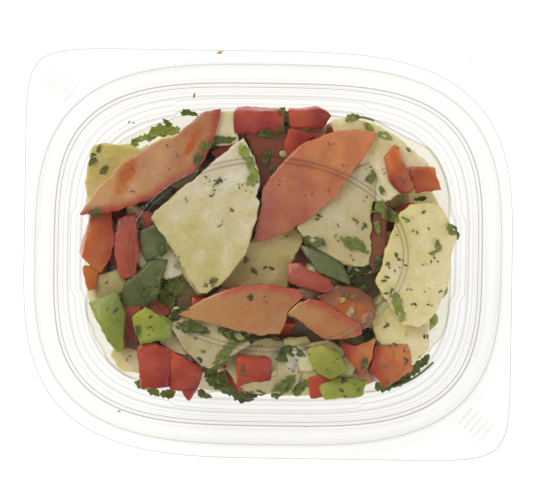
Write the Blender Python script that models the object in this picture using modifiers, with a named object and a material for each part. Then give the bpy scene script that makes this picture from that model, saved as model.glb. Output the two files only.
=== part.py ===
"""Potato salad in a shut, clear deli tub: the moulded tub, its snap-on lid and the salad heap.

Run it in Blender 4.5. Lengths are in metres, +Z is up, +X runs along the tub's length, and the
origin is the middle of the foot that the tub stands on.
"""

import math
import random
from collections import namedtuple

import bmesh
import bpy
from mathutils import Matrix, Vector
from mathutils.geometry import convex_hull_2d, intersect_line_line_2d

MM = 0.001
TAU = 2 * math.pi

# Outlines seen from above. Each is a superellipse: half length, half width and power, where a
# higher power has squarer corners.
Outline = namedtuple("Outline", "half_x half_y power")
FLANGE = Outline(71.1 * MM, 59.3 * MM, 3.2)
BEAD = Outline(68.4 * MM, 55.9 * MM, 3.2)
PLUG = Outline(62.1 * MM, 49.6 * MM, 3.46)
PANEL = Outline(58.2 * MM, 46.0 * MM, 3.46)
FOOT = Outline(56.6 * MM, 44.0 * MM, 3.5)
OVAL = Outline(40.1 * MM, 27.6 * MM, 2.0)
HEAP = Outline(55.5 * MM, 43.5 * MM, 2.4)

# Two opposite corners of the lid's flange run out round a circle each, as finger tabs
TAB_MIDDLE = Vector((58.2 * MM, -47.3 * MM))
TAB_RADIUS = 12.0 * MM

# Sheet thicknesses and the main heights
TUB_WALL = 0.5 * MM
LID_WALL = 0.4 * MM
RIM_Z = 44.6 * MM
FLANGE_Z = 41.6 * MM
STEP_Z = 37.5 * MM
WALL_FOOT_Z = 3.2 * MM
FLOOR_Z = 1.6 * MM
LID_FLANGE_Z = 42.0 * MM
BEAD_Z = 45.1 * MM
CHANNEL_Z = 39.9 * MM
PANEL_Z = 41.4 * MM
OVAL_RISE = 0.8 * MM
OVAL_HALF_WIDTH = 1.2 * MM

# The middle of each side bulges out as a flat panel, which stiffens the wall. On a long side the
# panel is full up to the first X and gone at the second, and on a short side the same with Y.
PANEL_OUT = 1.2 * MM
PANEL_X = (27.0 * MM, 30.0 * MM)
PANEL_Y = (10.5 * MM, 15.5 * MM)
PANEL_TOP_Z = 32.0 * MM

TUB_STEPS = 40
LID_STEPS = 48

# The heap: a plain core, with the pieces that show fused on
CORE_INSET = 7.0 * MM
CORE_TOP_Z = 26.0 * MM
CORE_STEPS = 24
HEAP_FLOOR_Z = FLOOR_Z + 0.4 * MM
HEAP_SEED = 11

TUB_PLASTIC = ("clear_pet_tub", (0.93, 0.95, 0.95, 0.3), 0.06)
LID_PLASTIC = ("clear_pet_lid", (0.95, 0.96, 0.96, 0.3), 0.05)
SALAD = ("dressed_potato_salad", (0.72, 0.62, 0.36, 1.0), 0.45)

# A potato chunk: height of its top, thickness, tilts in degrees, and its corners from above in mm
Chunk = namedtuple("Chunk", "top thick tilt_x tilt_y corners")
POTATOES = (
    Chunk(41.0, 17, 2, -4, ((-8, 34), (-3.5, 27), (-2.5, 11.5), (-12, -7.5), (-18.5, -12), (-34.5, 11), (-19, 25))),
    Chunk(39.5, 16, -3, 3, ((30, 27), (31.5, 22.5), (30.5, -1.5), (22, -3), (11.5, 3.5), (8, 7.5), (13, 17), (24, 27))),
    Chunk(40.0, 17, 3, 3, ((39, 13.5), (47, 16.5), (55, 7.5), (53, -6.5), (47, -20), (41, -21), (35, -13), (31, -7.5))),
    Chunk(34.0, 16, -4, 2, ((30, -15), (30, -24), (36, -29), (43, -33), (47, -28), (49, -18), (44, -10))),
    Chunk(35.5, 15, -5, 4, ((17.5, 39.5), (24, 40.5), (31, 39), (41.5, 32.5), (46.5, 26.5), (40, 21), (30, 25), (21, 32))),
    Chunk(33.0, 14, 2, 3, ((31, 25), (41, 25), (46, 19), (37, 15), (31.5, 16))),
    Chunk(33.5, 15, 4, -4, ((-52, 30.5), (-49, 32), (-41, 31.5), (-35, 29), (-40, 19), (-50, 12), (-53.5, 16), (-54, 25))),
    Chunk(32.0, 15, -4, -3, ((-46, -30), (-43, -26), (-33, -25), (-31, -33), (-37, -36), (-43, -35))),
    Chunk(36.0, 15, -3, 2, ((-26.5, -22), (-20, -17), (-8.5, -21), (-10, -31), (-16.5, -34), (-23.5, -29), (-28.5, -26))),
    Chunk(33.0, 14, 3, -2, ((-13, -10), (-2, 3), (9, 6), (6, -9), (1, -16), (-9, -17))),
    Chunk(32.0, 14, 0, -5, ((-52.5, -7), (-42, -3), (-40, -12), (-50.5, -14.5))),
    Chunk(31.5, 14, -5, 0, ((-10, -25), (3, -26), (11, -28), (9, -39), (-6, -41), (-13, -36))),
    Chunk(30.0, 13, 4, 2, ((5, -27), (20, -29), (27, -37), (14, -41), (6, -40))),
    Chunk(30.5, 13, 4, 0, ((-17, 42), (-11, 41.5), (-9, 33), (-18, 32))),
)

# A tomato wedge: its two tips in mm, how far the core edge and the skin edge bow out from the
# line between them, the wedge's angle, its top, and whether the skin faces up
Wedge = namedtuple("Wedge", "tip_a tip_b core_bow skin_bow angle top skin_up")
TOMATOES = (
    Wedge((-56, 10), (-14, 43), 4.3, 10, 62, 40.0, False),
    Wedge((-4.5, 2.5), (32, 36), 3.4, 16, 68, 41.0, True),
    Wedge((13, -14), (-26.5, -18.5), 8, 7.5, 50, 40.3, False),
    Wedge((28, -23), (3, -13), 4.4, 3.8, 60, 40.6, False),
    Wedge((5, -4), (21, -9.5), 2.0, 7, 70, 37.5, True),
    Wedge((-8, 34.5), (8, 30), 5, 7, 60, 32.0, False),
    Wedge((24, -35.5), (31, -23.5), 4, 7, 70, 35.5, False),
    Wedge((31, -26), (42, -37), 5, 8, 75, 34.5, True),
    Wedge((-50.5, -7), (-51, 11), 3, 7, 80, 34.5, True),
    Wedge((-41, -8), (-42, 9), 3.5, 5.5, 75, 33.0, True),
    Wedge((19, -17), (27, -10), 4, 5, 80, 34.5, False),
)

# A cut square of sweet pepper: middle and top in mm, length, width, turn and tilt in degrees
Square = namedtuple("Square", "x y top length width turn tilt")
PEPPER_WALL = 4.6
PEPPERS = (
    Square(-4, 39.5, 36.5, 14, 8, 2, -8),
    Square(11, 40, 36.0, 13, 6.5, -4, -12),
    Square(9, 33.5, 35.5, 9, 8, 35, 10),
    Square(37, 26, 38.0, 14, 8, 100, 12),
    Square(45, 22, 37.0, 10, 7.5, -6, -10),
    Square(-33.5, -34.5, 35.0, 9, 8.5, 12, -10),
    Square(-25, -35, 34.5, 11, 10, -38, 8),
    Square(-20.5, -36.5, 33.0, 6, 6, 10, 0),
    Square(-33, -28, 34.5, 15, 5, -6, 12),
    Square(-4, -34.5, 35.5, 10.5, 10, -2, 4),
    Square(-35, -1.5, 34.5, 10, 4.5, 28, 10),
    Square(31, -11, 34.0, 8, 6, 70, 12),
    Square(32.3, 3, 34.0, 15, 5, 84, 8),
    Square(14, -37, 32.5, 9, 5, 70, 10),
    Square(-47.3, -20.4, 35.5, 17, 11, -62, -14),
    Square(-34.2, -21.4, 36.5, 11, 10.5, 14, 8),
    Square(-38.5, -12, 34.5, 10, 8, 60, 14),
    Square(-33.5, -4.5, 34.0, 9, 5, 28, -12),
    Square(-33.5, 3.5, 35.0, 10, 8, 40, 8),
    Square(16, -2.8, 35.0, 14.5, 7, -28, 10),
    Square(18, -31, 35.5, 14, 8, -30, 12),
    Square(24.5, -38.5, 33.0, 12, 6, 6, -12),
    Square(15.5, -39.5, 31.5, 9, 6, -10, 10),
    Square(-32, 33.5, 31.0, 12, 5, 12, -10),
    Square(-12.5, 30.5, 32.0, 9, 7, 40, 10),
)

# Parsley leaflets that lie on top: place and top in mm, length, width, turn and tilt in degrees
Leaf = namedtuple("Leaf", "x y top length width turn tilt")
LEAF_THICK = 0.6
LEAVES = (
    Leaf(-4.8, 26, 40.2, 10, 5, -70, 8),
    Leaf(33.5, 11.5, 39.6, 10, 7, 25, 14),
    Leaf(25.3, 3.5, 39.9, 7, 3, -28, 4),
    Leaf(-52, 26.5, 34.2, 7, 4, 75, 20),
    Leaf(-49.5, 23, 34.2, 5, 5, -40, 10),
    Leaf(-29, -12.8, 33.5, 10, 7, 60, 20),
    Leaf(-7.8, -24.3, 36.6, 9, 4, -22, 6),
    Leaf(-20, -20.5, 36.8, 6, 3.5, -15, 6),
    Leaf(-14, -37.5, 33.5, 9, 5, -40, 20),
    Leaf(-5, -41, 32.8, 10, 5, 5, 25),
    Leaf(36, -37.5, 32.5, 10, 4, 12, 25),
    Leaf(23, 40, 36.3, 6, 3, 10, 12),
)

# Pieces under the top layer stand in rings against the wall, each ring at its own height
RING_HEIGHTS = (9.0, 18.5, 27.5)
RING_COUNT = 17
RING_SIZE = (13.0, 18.0)
RING_SHRINK = 0.05


def direction_list(count, panels=False):
    """Directions round an outline, closer at the corners and, with panels, at each panel's ends."""
    angles = []
    for step in range(count):
        turn = TAU * step / count
        across = abs(math.cos(turn)) ** (2 / PLUG.power) * PLUG.half_x
        along = abs(math.sin(turn)) ** (2 / PLUG.power) * PLUG.half_y
        angles.append(math.atan2(math.copysign(along, math.sin(turn)), math.copysign(across, math.cos(turn))))
    if panels:
        ends = [math.atan2(FOOT.half_y, x) for x in PANEL_X]
        ends += [math.atan2(y, FOOT.half_x) for y in PANEL_Y]
        angles += [turn for end in ends for turn in (end, math.pi - end, math.pi + end, -end)]
    return sorted(angle % TAU for angle in angles)


def reach(angle, outline, inset=0.0):
    """How far an outline is from the middle in one direction."""
    part_x = abs(math.cos(angle)) / (outline.half_x - inset)
    part_y = abs(math.sin(angle)) / (outline.half_y - inset)
    return (part_x**outline.power + part_y**outline.power) ** (-1 / outline.power)


def round_points(reach_of, count=180):
    """Points round the origin, with the distance for each direction from a function."""
    turns = [TAU * k / count for k in range(count)]
    return [Vector((math.cos(turn), math.sin(turn))) * reach_of(turn) for turn in turns]


def tabbed_outline():
    """The flange's outline drawn tight, like a string, round its two tab circles as well."""
    points = round_points(lambda turn: reach(turn, FLANGE))
    for side in (1, -1):
        points += [side * TAB_MIDDLE + spoke for spoke in round_points(lambda turn: TAB_RADIUS)]
    return [points[index] for index in convex_hull_2d(points)]


def tabbed_reach(angle, corners):
    """How far the tabbed outline is from the middle in one direction."""
    ray = Vector((math.cos(angle), math.sin(angle)))
    for one, other in zip(corners, corners[1:] + corners[:1]):
        met = intersect_line_line_2d(Vector((0, 0)), ray, one, other)
        if met:
            return met.length
    return reach(angle, FLANGE)


def panel_part(angle):
    """How much of the side panels' bulge there is in one direction, from 0 to 1."""
    far = reach(angle, FOOT)
    along_long_side = abs(far * math.cos(angle))
    along_short_side = abs(far * math.sin(angle))
    parts = []
    for place, (full, gone) in ((along_long_side, PANEL_X), (along_short_side, PANEL_Y)):
        parts.append(min(1.0, max(0.0, (gone - place) / (gone - full))))
    return max(parts)


def ring_points(angles, outline, inset, height, bulge=0.0):
    """One closed ring of points on an outline, moved in by the inset and out by the panels."""
    points = []
    for angle in angles:
        far = reach(angle, outline, inset) + panel_part(angle) * bulge
        points.append(Vector((far * math.cos(angle), far * math.sin(angle), height)))
    return points


def material(name, colour, roughness):
    made = bpy.data.materials.get(name) or bpy.data.materials.new(name)
    made.use_nodes = True
    surface = made.node_tree.nodes["Principled BSDF"]
    surface.inputs["Base Color"].default_value = colour
    surface.inputs["Roughness"].default_value = roughness
    surface.inputs["Alpha"].default_value = colour[3]
    return made


def new_object(name, bm, collection, finish=None):
    mesh = bpy.data.meshes.new(name)
    bm.to_mesh(mesh)
    bm.free()
    made = bpy.data.objects.new(name, mesh)
    collection.objects.link(made)
    if finish:
        mesh.materials.append(material(*finish))
    return made


def loft(rings):
    """A sheet through rings of equal count, closed in the middle of the last one by a fan."""
    bm = bmesh.new()
    rows = [[bm.verts.new(point) for point in ring] for ring in rings]
    count = len(rows[0])
    for outer, inner in zip(rows, rows[1:]):
        for k in range(count):
            bm.faces.new((outer[k], outer[(k + 1) % count], inner[(k + 1) % count], inner[k]))
    middle = bm.verts.new((0, 0, rings[-1][0].z))
    for k in range(count):
        bm.faces.new((rows[-1][k], rows[-1][(k + 1) % count], middle))
    return bm


def thicken(sheet, thickness, side):
    """Gives a sheet its wall, on the side that its faces point to (1) or on the other (-1)."""
    wall = sheet.modifiers.new("wall", "SOLIDIFY")
    wall.thickness = thickness
    wall.offset = side


def round_shading(obj, angle=40):
    obj.data.shade_smooth()
    obj.data.set_sharp_from_angle(angle=math.radians(angle))


def build_tub(collection):
    """The tub's inner and upper surface, from the flange's edge down to the floor."""
    angles = direction_list(TUB_STEPS, panels=True)
    rows = (
        (FLANGE, 0.9 * MM, FLANGE_Z, 0.0),
        (BEAD, 1.2 * MM, FLANGE_Z, 0.0),
        (BEAD, 1.6 * MM, RIM_Z - 0.6 * MM, 0.0),
        (BEAD, 2.6 * MM, RIM_Z, 0.0),
        (PLUG, -1.6 * MM, RIM_Z, 0.0),
        (PLUG, -0.6 * MM, RIM_Z - 0.6 * MM, 0.0),
        (PLUG, 0.0, STEP_Z + 1.0 * MM, 0.0),
        (PLUG, 0.9 * MM, STEP_Z, 0.0),
        (PLUG, 1.4 * MM, PANEL_TOP_Z, 0.0),
        (FOOT, -1.2 * MM, WALL_FOOT_Z, PANEL_OUT),
        (FOOT, 0.2 * MM, 2 * TUB_WALL, PANEL_OUT),
        (FOOT, 1.4 * MM, TUB_WALL, PANEL_OUT),
        (FOOT, 5.0 * MM, TUB_WALL, 0.0),
        (FOOT, 7.0 * MM, FLOOR_Z, 0.0),
    )
    rings = [ring_points(angles, outline, inset, z, bulge) for outline, inset, z, bulge in rows]
    tub = new_object("tub", loft(rings), collection, TUB_PLASTIC)
    thicken(tub, TUB_WALL, -1)
    round_shading(tub)
    return tub


def build_lid(collection):
    """The lid's under surface, from the flange and its two tabs in to the flat panel."""
    angles = direction_list(LID_STEPS)
    tabbed = tabbed_outline()
    edge = [Vector((math.cos(turn), math.sin(turn), 0)) * tabbed_reach(turn, tabbed) for turn in angles]
    rows = (
        (BEAD, 0.4 * MM, LID_FLANGE_Z),
        (BEAD, 0.9 * MM, BEAD_Z - 0.6 * MM),
        (BEAD, 2.2 * MM, BEAD_Z),
        (PLUG, -1.3 * MM, BEAD_Z),
        (PLUG, -0.3 * MM, BEAD_Z - 0.7 * MM),
        (PLUG, 0.5 * MM, CHANNEL_Z + 0.5 * MM),
        (PLUG, 1.5 * MM, CHANNEL_Z),
        (PLUG, 2.6 * MM, CHANNEL_Z),
        (PANEL, 0.0, PANEL_Z),
        (OVAL, -OVAL_HALF_WIDTH, PANEL_Z),
        (OVAL, 0.0, PANEL_Z + OVAL_RISE),
        (OVAL, OVAL_HALF_WIDTH, PANEL_Z),
    )
    rings = [[point + Vector((0, 0, LID_FLANGE_Z)) for point in edge]]
    rings += [ring_points(angles, outline, inset, z) for outline, inset, z in rows]
    lid = new_object("lid", loft(rings), collection, LID_PLASTIC)
    thicken(lid, LID_WALL, 1)
    round_shading(lid)
    return lid


def hull(points):
    """The convex solid round some points."""
    bm = bmesh.new()
    for point in points:
        bm.verts.new(point)
    made = bmesh.ops.convex_hull(bm, input=bm.verts)
    inner = {v for v in made["geom_interior"] + made["geom_unused"] if isinstance(v, bmesh.types.BMVert)}
    bmesh.ops.delete(bm, geom=list(inner), context="VERTS")
    bmesh.ops.recalc_face_normals(bm, faces=bm.faces)
    return bm


def slab_points(corners, thick, chamfer, under=0.88):
    """Three rings of a cut slab's corners: the chamfered top edge, the sides and the underside."""
    middle = sum((Vector(c) for c in corners), Vector((0, 0))) / len(corners)
    levels = ((0.0, chamfer, 1.0), (-chamfer, 0.0, 1.0), (-thick, 0.0, under))
    points = []
    for z, inset, scale in levels:
        for corner in corners:
            arm = Vector(corner) - middle
            arm *= scale * (1 - inset / arm.length)
            points.append(Vector((arm.x, arm.y, z)))
    return points, middle


def tilted(points, tilt_x, tilt_y):
    turn = Matrix.Rotation(math.radians(tilt_x), 3, "X") @ Matrix.Rotation(math.radians(tilt_y), 3, "Y")
    return [turn @ point for point in points]


def under_top(points, x, y, top):
    """The points in metres, with the highest one at the height given and none below the heap."""
    lift = top - max(point.z for point in points)
    placed = [Vector((p.x + x, p.y + y, p.z + lift)) * MM for p in points]
    return [Vector((p.x, p.y, max(p.z, HEAP_FLOOR_Z))) for p in placed]


def chunk_solid(chunk):
    points, middle = slab_points(chunk.corners, chunk.thick, 1.6)
    return hull(under_top(tilted(points, chunk.tilt_x, chunk.tilt_y), middle.x, middle.y, chunk.top))


def square_corners(length, width, turn):
    turned = Matrix.Rotation(math.radians(turn), 2)
    return [turned @ Vector((x * length / 2, y * width / 2)) for x, y in ((1, 1), (-1, 1), (-1, -1), (1, -1))]


def square_solid(square):
    corners = square_corners(square.length, square.width, square.turn)
    points, _ = slab_points(corners, PEPPER_WALL, 0.8, under=0.95)
    return hull(under_top(tilted(points, square.tilt, square.tilt / 2), square.x, square.y, square.top))


def wedge_solid(wedge, sections=8, arc=4):
    """A wedge cut from a tomato: a lune between two tips, with the skin as an arc."""
    tip_a, tip_b = Vector(wedge.tip_a), Vector(wedge.tip_b)
    along = tip_b - tip_a
    left = Vector((-along.y, along.x)).normalized()
    angle = math.radians(wedge.angle)
    start = math.radians(90) - angle / 2 if wedge.skin_up else math.pi
    rows = []
    for step in range(1, sections):
        t = step / sections
        swell = math.sin(math.pi * t) ** 0.8
        core = tip_a + along * t + left * wedge.core_bow * swell * (not wedge.skin_up)
        depth = (wedge.skin_bow + wedge.core_bow) * swell
        row = [Vector((core.x, core.y, 0))]
        for k in range(arc + 1):
            spoke = start + angle * k / arc
            aside = left * depth * math.cos(spoke)
            row.append(Vector((core.x + aside.x, core.y + aside.y, depth * math.sin(spoke))))
        rows.append(row)
    lift = wedge.top - max(point.z for row in rows for point in row)
    tip_z = lift + (0.35 * wedge.skin_bow if wedge.skin_up else -0.5)
    bm = bmesh.new()
    rings = [[bm.verts.new((p.x * MM, p.y * MM, (p.z + lift) * MM)) for p in row] for row in rows]
    ends = [bm.verts.new((tip.x * MM, tip.y * MM, tip_z * MM)) for tip in (tip_a, tip_b)]
    count = len(rings[0])
    for one, other in zip(rings, rings[1:]):
        for k in range(count):
            bm.faces.new((one[k], one[(k + 1) % count], other[(k + 1) % count], other[k]))
    for k in range(count):
        bm.faces.new((ends[0], rings[0][(k + 1) % count], rings[0][k]))
        bm.faces.new((ends[1], rings[-1][k], rings[-1][(k + 1) % count]))
    bmesh.ops.recalc_face_normals(bm, faces=bm.faces)
    return bm


def leaf_solid(leaf, lobes=5):
    """A thin, wavy, lobed leaflet: a fan of triangles above and the same fan below."""
    turned = Matrix.Rotation(math.radians(leaf.turn), 3, "Z") @ Matrix.Rotation(math.radians(leaf.tilt), 3, "X")
    rim = []
    for k in range(2 * lobes):
        angle = TAU * k / (2 * lobes)
        far = 1.0 if k % 2 == 0 else 0.66
        rim.append(Vector((far * leaf.length / 2 * math.cos(angle), far * leaf.width / 2 * math.sin(angle), 0)))
    outline = [turned @ (p + Vector((0, 0, 0.35 * (-1) ** k))) for k, p in enumerate(rim)]
    bm = bmesh.new()
    sides = []
    for z in (leaf.top, leaf.top - LEAF_THICK):
        middle = bm.verts.new(Vector((leaf.x, leaf.y, z)) * MM)
        edge = [bm.verts.new(Vector((leaf.x + p.x, leaf.y + p.y, z + p.z)) * MM) for p in outline]
        for k in range(len(edge)):
            bm.faces.new((edge[k], edge[(k + 1) % len(edge)], middle))
        sides.append(edge)
    upper, lower = sides
    for k in range(len(upper)):
        k2 = (k + 1) % len(upper)
        bm.faces.new((upper[k2], upper[k], lower[k], lower[k2]))
    bmesh.ops.recalc_face_normals(bm, faces=bm.faces)
    return bm


def ring_chunks():
    """Uneven potato, tomato and pepper pieces standing against the wall, ring above ring."""
    rng = random.Random(HEAP_SEED)
    made = []
    for level, height in enumerate(RING_HEIGHTS):
        for place in range(RING_COUNT):
            angle = TAU * (place + 0.5 * (level % 2) + rng.uniform(-0.12, 0.12)) / RING_COUNT
            size = rng.uniform(*RING_SIZE)
            far = reach(angle, HEAP) / MM * (1 - RING_SHRINK * (level == 0)) - size / 2
            corners = []
            for k in range(5):
                spoke = angle + TAU * (k + rng.uniform(-0.18, 0.18)) / 5
                arm = size / 2 * rng.uniform(0.85, 1.1)
                corners.append((
                    far * math.cos(angle) + arm * math.cos(spoke),
                    far * math.sin(angle) + arm * math.sin(spoke),
                ))
            thick = rng.uniform(9, 12)
            tilts = rng.uniform(-16, 16), rng.uniform(-16, 16)
            top = height + thick / 2 + rng.uniform(-0.8, 0.8)
            made.append(Chunk(top, thick, *tilts, corners))
    return made


def core_solid():
    """The middle of the heap, clear of the floor and narrower than the rings of pieces."""
    angles = direction_list(CORE_STEPS)
    bm = loft([
        ring_points(angles, HEAP, 2 * CORE_INSET, HEAP_FLOOR_Z),
        ring_points(angles, HEAP, CORE_INSET, 2 * HEAP_FLOOR_Z),
        ring_points(angles, HEAP, CORE_INSET, CORE_TOP_Z),
        ring_points(angles, HEAP, 2 * CORE_INSET, CORE_TOP_Z + 2 * MM),
    ])
    bmesh.ops.holes_fill(bm, edges=[edge for edge in bm.edges if edge.is_boundary])
    bmesh.ops.recalc_face_normals(bm, faces=bm.faces)
    return bm


def largest_body(bm):
    """Drops loose scraps, and the walls of hollows that the union sealed."""
    seen, bodies = set(), []
    for start in bm.verts:
        if start in seen:
            continue
        body, edge_of_search = {start}, [start]
        while edge_of_search:
            for link in edge_of_search.pop().link_edges:
                for other in link.verts:
                    if other not in body:
                        body.add(other)
                        edge_of_search.append(other)
        seen |= body
        bodies.append(body)
    bodies.sort(key=len)
    loose = [vertex for body in bodies[:-1] for vertex in body]
    bmesh.ops.delete(bm, geom=loose, context="VERTS")


def build_salad(collection, pieces):
    """One solid: the core and every piece that shows, joined by one union."""
    solids = [chunk_solid(chunk) for chunk in ring_chunks()]
    solids += [chunk_solid(chunk) for chunk in POTATOES]
    solids += [wedge_solid(wedge) for wedge in TOMATOES]
    solids += [square_solid(square) for square in PEPPERS]
    solids += [leaf_solid(leaf) for leaf in LEAVES]
    for number, solid in enumerate(solids):
        new_object(f"piece_{number}", solid, pieces)
    heap = new_object("salad_heap", core_solid(), collection, SALAD)
    union = heap.modifiers.new("pieces", "BOOLEAN")
    union.operation = "UNION"
    union.operand_type = "COLLECTION"
    union.collection = pieces
    union.solver = "MANIFOLD"
    joined = bpy.data.meshes.new_from_object(heap.evaluated_get(bpy.context.evaluated_depsgraph_get()))
    heap.modifiers.clear()
    bm = bmesh.new()
    bm.from_mesh(joined)
    largest_body(bm)
    bm.to_mesh(heap.data)
    bm.free()
    bpy.data.meshes.remove(joined)
    for piece in list(pieces.objects):
        bpy.data.objects.remove(piece)
    return heap


def main():
    for old in list(bpy.data.objects):
        bpy.data.objects.remove(old)
    parts = bpy.data.collections.new("potato_salad_tub")
    pieces = bpy.data.collections.new("heap_pieces")
    for collection in (parts, pieces):
        bpy.context.scene.collection.children.link(collection)
    build_tub(parts)
    build_lid(parts)
    build_salad(parts, pieces)
    bpy.data.collections.remove(pieces)


main()
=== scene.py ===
# %% [markdown]
# # Potato salad in a shut clear tub
#
# The object is a thermoformed clear tub with a press-on lid, and inside it a heap of cut boiled
# potato, tomato, sweet pepper and parsley under a thin oily dressing. The solids come from the
# CAD frame. This lesson dresses them: the two plastic shells first, then the food, piece by piece.

import math
import random
from collections import namedtuple

import bmesh
import bpy
import numpy as np
from mathutils import Matrix, Vector, noise


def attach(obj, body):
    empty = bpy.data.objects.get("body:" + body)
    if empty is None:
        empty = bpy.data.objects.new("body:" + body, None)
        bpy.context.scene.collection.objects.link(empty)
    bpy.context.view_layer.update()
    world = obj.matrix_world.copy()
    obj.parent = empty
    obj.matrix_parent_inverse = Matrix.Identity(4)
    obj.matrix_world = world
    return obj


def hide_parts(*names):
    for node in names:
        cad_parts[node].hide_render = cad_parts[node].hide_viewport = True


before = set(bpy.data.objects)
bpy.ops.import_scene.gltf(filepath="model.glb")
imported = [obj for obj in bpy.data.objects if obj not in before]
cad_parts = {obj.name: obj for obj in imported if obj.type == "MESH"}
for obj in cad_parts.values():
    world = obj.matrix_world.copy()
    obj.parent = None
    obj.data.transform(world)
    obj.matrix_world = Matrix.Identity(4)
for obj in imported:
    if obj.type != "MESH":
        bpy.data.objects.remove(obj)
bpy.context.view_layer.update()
scene = bpy.context.scene
MM = 0.001
TAU = 2 * math.pi
BODY = "root"
print("CAD nodes:", sorted(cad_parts))

# %% [markdown]
# ## Three small helpers
#
# Colours are written as the hex codes that a paint program shows. Blender's shaders want linear
# light, so one function turns a code into that. One more function adds a node of any kind, with
# its settings, values and links, to a shader tree or a geometry tree. The third starts a material
# and hands back its tree and its coordinates.


# %% Colour, node and material helpers
def linear(code):
    """An sRGB hex code as linear red, green and blue, and an alpha of 1."""
    channels = [int(code[k : k + 2], 16) / 255 for k in (1, 3, 5)]
    return (*[c / 12.92 if c <= 0.04045 else ((c + 0.055) / 1.055) ** 2.4 for c in channels], 1.0)


def node(tree, kind, inputs=(), **settings):
    """Adds a node. Its inputs come by name, or in their order.

    The kind leaves out the start of Blender's name, such as ShaderNode, and "Math.ADD" is a Math
    node set to ADD. An input given as a node or a socket is linked, and any other value is set.
    """
    kind, dot, operation = kind.partition(".")
    starts = (tree.bl_idname.removesuffix("Tree"), "FunctionNode", "ShaderNode", "Node")
    made = tree.nodes.new(next(start + kind for start in starts if hasattr(bpy.types, start + kind)))
    if dot:
        settings["operation"] = operation
    for name, value in settings.items():
        setattr(made, name, value)
    for key, value in (inputs if isinstance(inputs, dict) else dict(enumerate(inputs))).items():
        if isinstance(key, str):
            into = next(s for s in made.inputs if s.name == key and s.enabled)
        else:
            into = made.inputs[key]
        if isinstance(value, bpy.types.Node):
            value = next(s for s in value.outputs if s.enabled)
        if isinstance(value, bpy.types.NodeSocket):
            tree.links.new(value, into)
        else:
            into.default_value = value
    return made


def new_material(name):
    """A material, its empty tree, and a socket with the coordinates on the object."""
    made = bpy.data.materials.new(name)
    made.use_nodes = True
    made.node_tree.nodes.clear()
    return made, made.node_tree, node(made.node_tree, "TexCoord").outputs["Object"]


print("mid grey in linear light:", round(linear("#808080")[0], 3))

# %% [markdown]
# ## Camera, table and light
#
# The tub was photographed from straight above on a white light table, so a long lens about a metre
# up sees hardly any of the walls. The light comes from all round, and from the table as much as
# from the lamps, so there are hardly any shadows and the clear plastic shows by its bends alone.

# %% Camera
FLANGE_HEIGHT = 42 * MM
CAMERA_HEIGHT = 1.2
VIEW_WIDTH = 155.05 * MM
VIEW_CENTRE = (-0.49 * MM, 1.48 * MM)
VIEW_TURN = math.radians(0.9)

camera_data = bpy.data.cameras.new("camera")
camera_data.lens = camera_data.sensor_width * CAMERA_HEIGHT / VIEW_WIDTH
camera = bpy.data.objects.new("camera", camera_data)
camera.location = (*VIEW_CENTRE, FLANGE_HEIGHT + CAMERA_HEIGHT)
camera.rotation_euler = (0, 0, VIEW_TURN)
scene.collection.objects.link(camera)
scene.camera = camera
print("lens", round(camera_data.lens), "mm")

# %% Table
TABLE_HALF = 1.5


def mesh_from(name, bm):
    """A mesh with what a bmesh holds. The bmesh is freed."""
    mesh = bpy.data.meshes.new(name)
    bm.to_mesh(mesh)
    bm.free()
    return mesh


def show(name, mesh):
    """Puts a mesh into the scene, at the origin."""
    made = bpy.data.objects.new(name, mesh)
    scene.collection.objects.link(made)
    return made


bm = bmesh.new()
bmesh.ops.create_grid(bm, x_segments=1, y_segments=1, size=TABLE_HALF)
table = show("table", mesh_from("table", bm))
opal_sheet, tree, _ = new_material("opal_sheet_lit_from_below")
opal = node(tree, "BsdfPrincipled", {
    "Base Color": linear("#a0a09e"),
    "Roughness": 0.7,
    "Emission Color": linear("#ffffff"),
    "Emission Strength": 0.84,
})
node(tree, "OutputMaterial", {"Surface": opal})
table.data.materials.append(opal_sheet)
print("table", 2 * TABLE_HALF, "m across")

# %% Light
world = bpy.data.worlds.new("white_studio")
scene.world = world
world.use_nodes = True
sky = world.node_tree.nodes["Background"]
sky.inputs["Color"].default_value = linear("#fffbf4")
sky.inputs["Strength"].default_value = 0.63


def softbox(name, place, size, power):
    """A square lamp that points at the tub and that the camera doesn't see."""
    lamp = bpy.data.lights.new(name, "AREA")
    lamp.size = size
    lamp.energy = power
    holder = bpy.data.objects.new(name, lamp)
    holder.location = place
    holder.rotation_euler = (-Vector(place)).to_track_quat("-Z", "Y").to_euler()
    holder.visible_camera = False
    scene.collection.objects.link(holder)


softbox("softbox_back_left", (-0.7, 0.7, 1.0), 0.8, 10)
softbox("softbox_front_right", (0.8, -0.6, 0.9), 0.9, 4)
scene.view_settings.view_transform = "Standard"
print("lamps:", [lamp.name for lamp in bpy.data.lights])

# %% [markdown]
# ## The moulded shells
#
# The tub and the lid are each one sheet of PET, heated and sucked into a mould. Every level of
# such a mould is the same kind of outline, a superellipse: a rectangle with bowed sides and full
# corners. So a short list of levels, each with its half length, half width, height and power,
# describes the whole sheet. The list is drawn as a chain of points, and a geometry tree lays a
# ring of points round the middle for each of them. The sheet is drawn once, at its outer face: a
# look through the rim crosses four walls, and two faces for each would be too many for the light.
#
# Modelling the shells by hand from a box would also work, but the corners and the panels in the
# walls would be hard to keep even.

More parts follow.
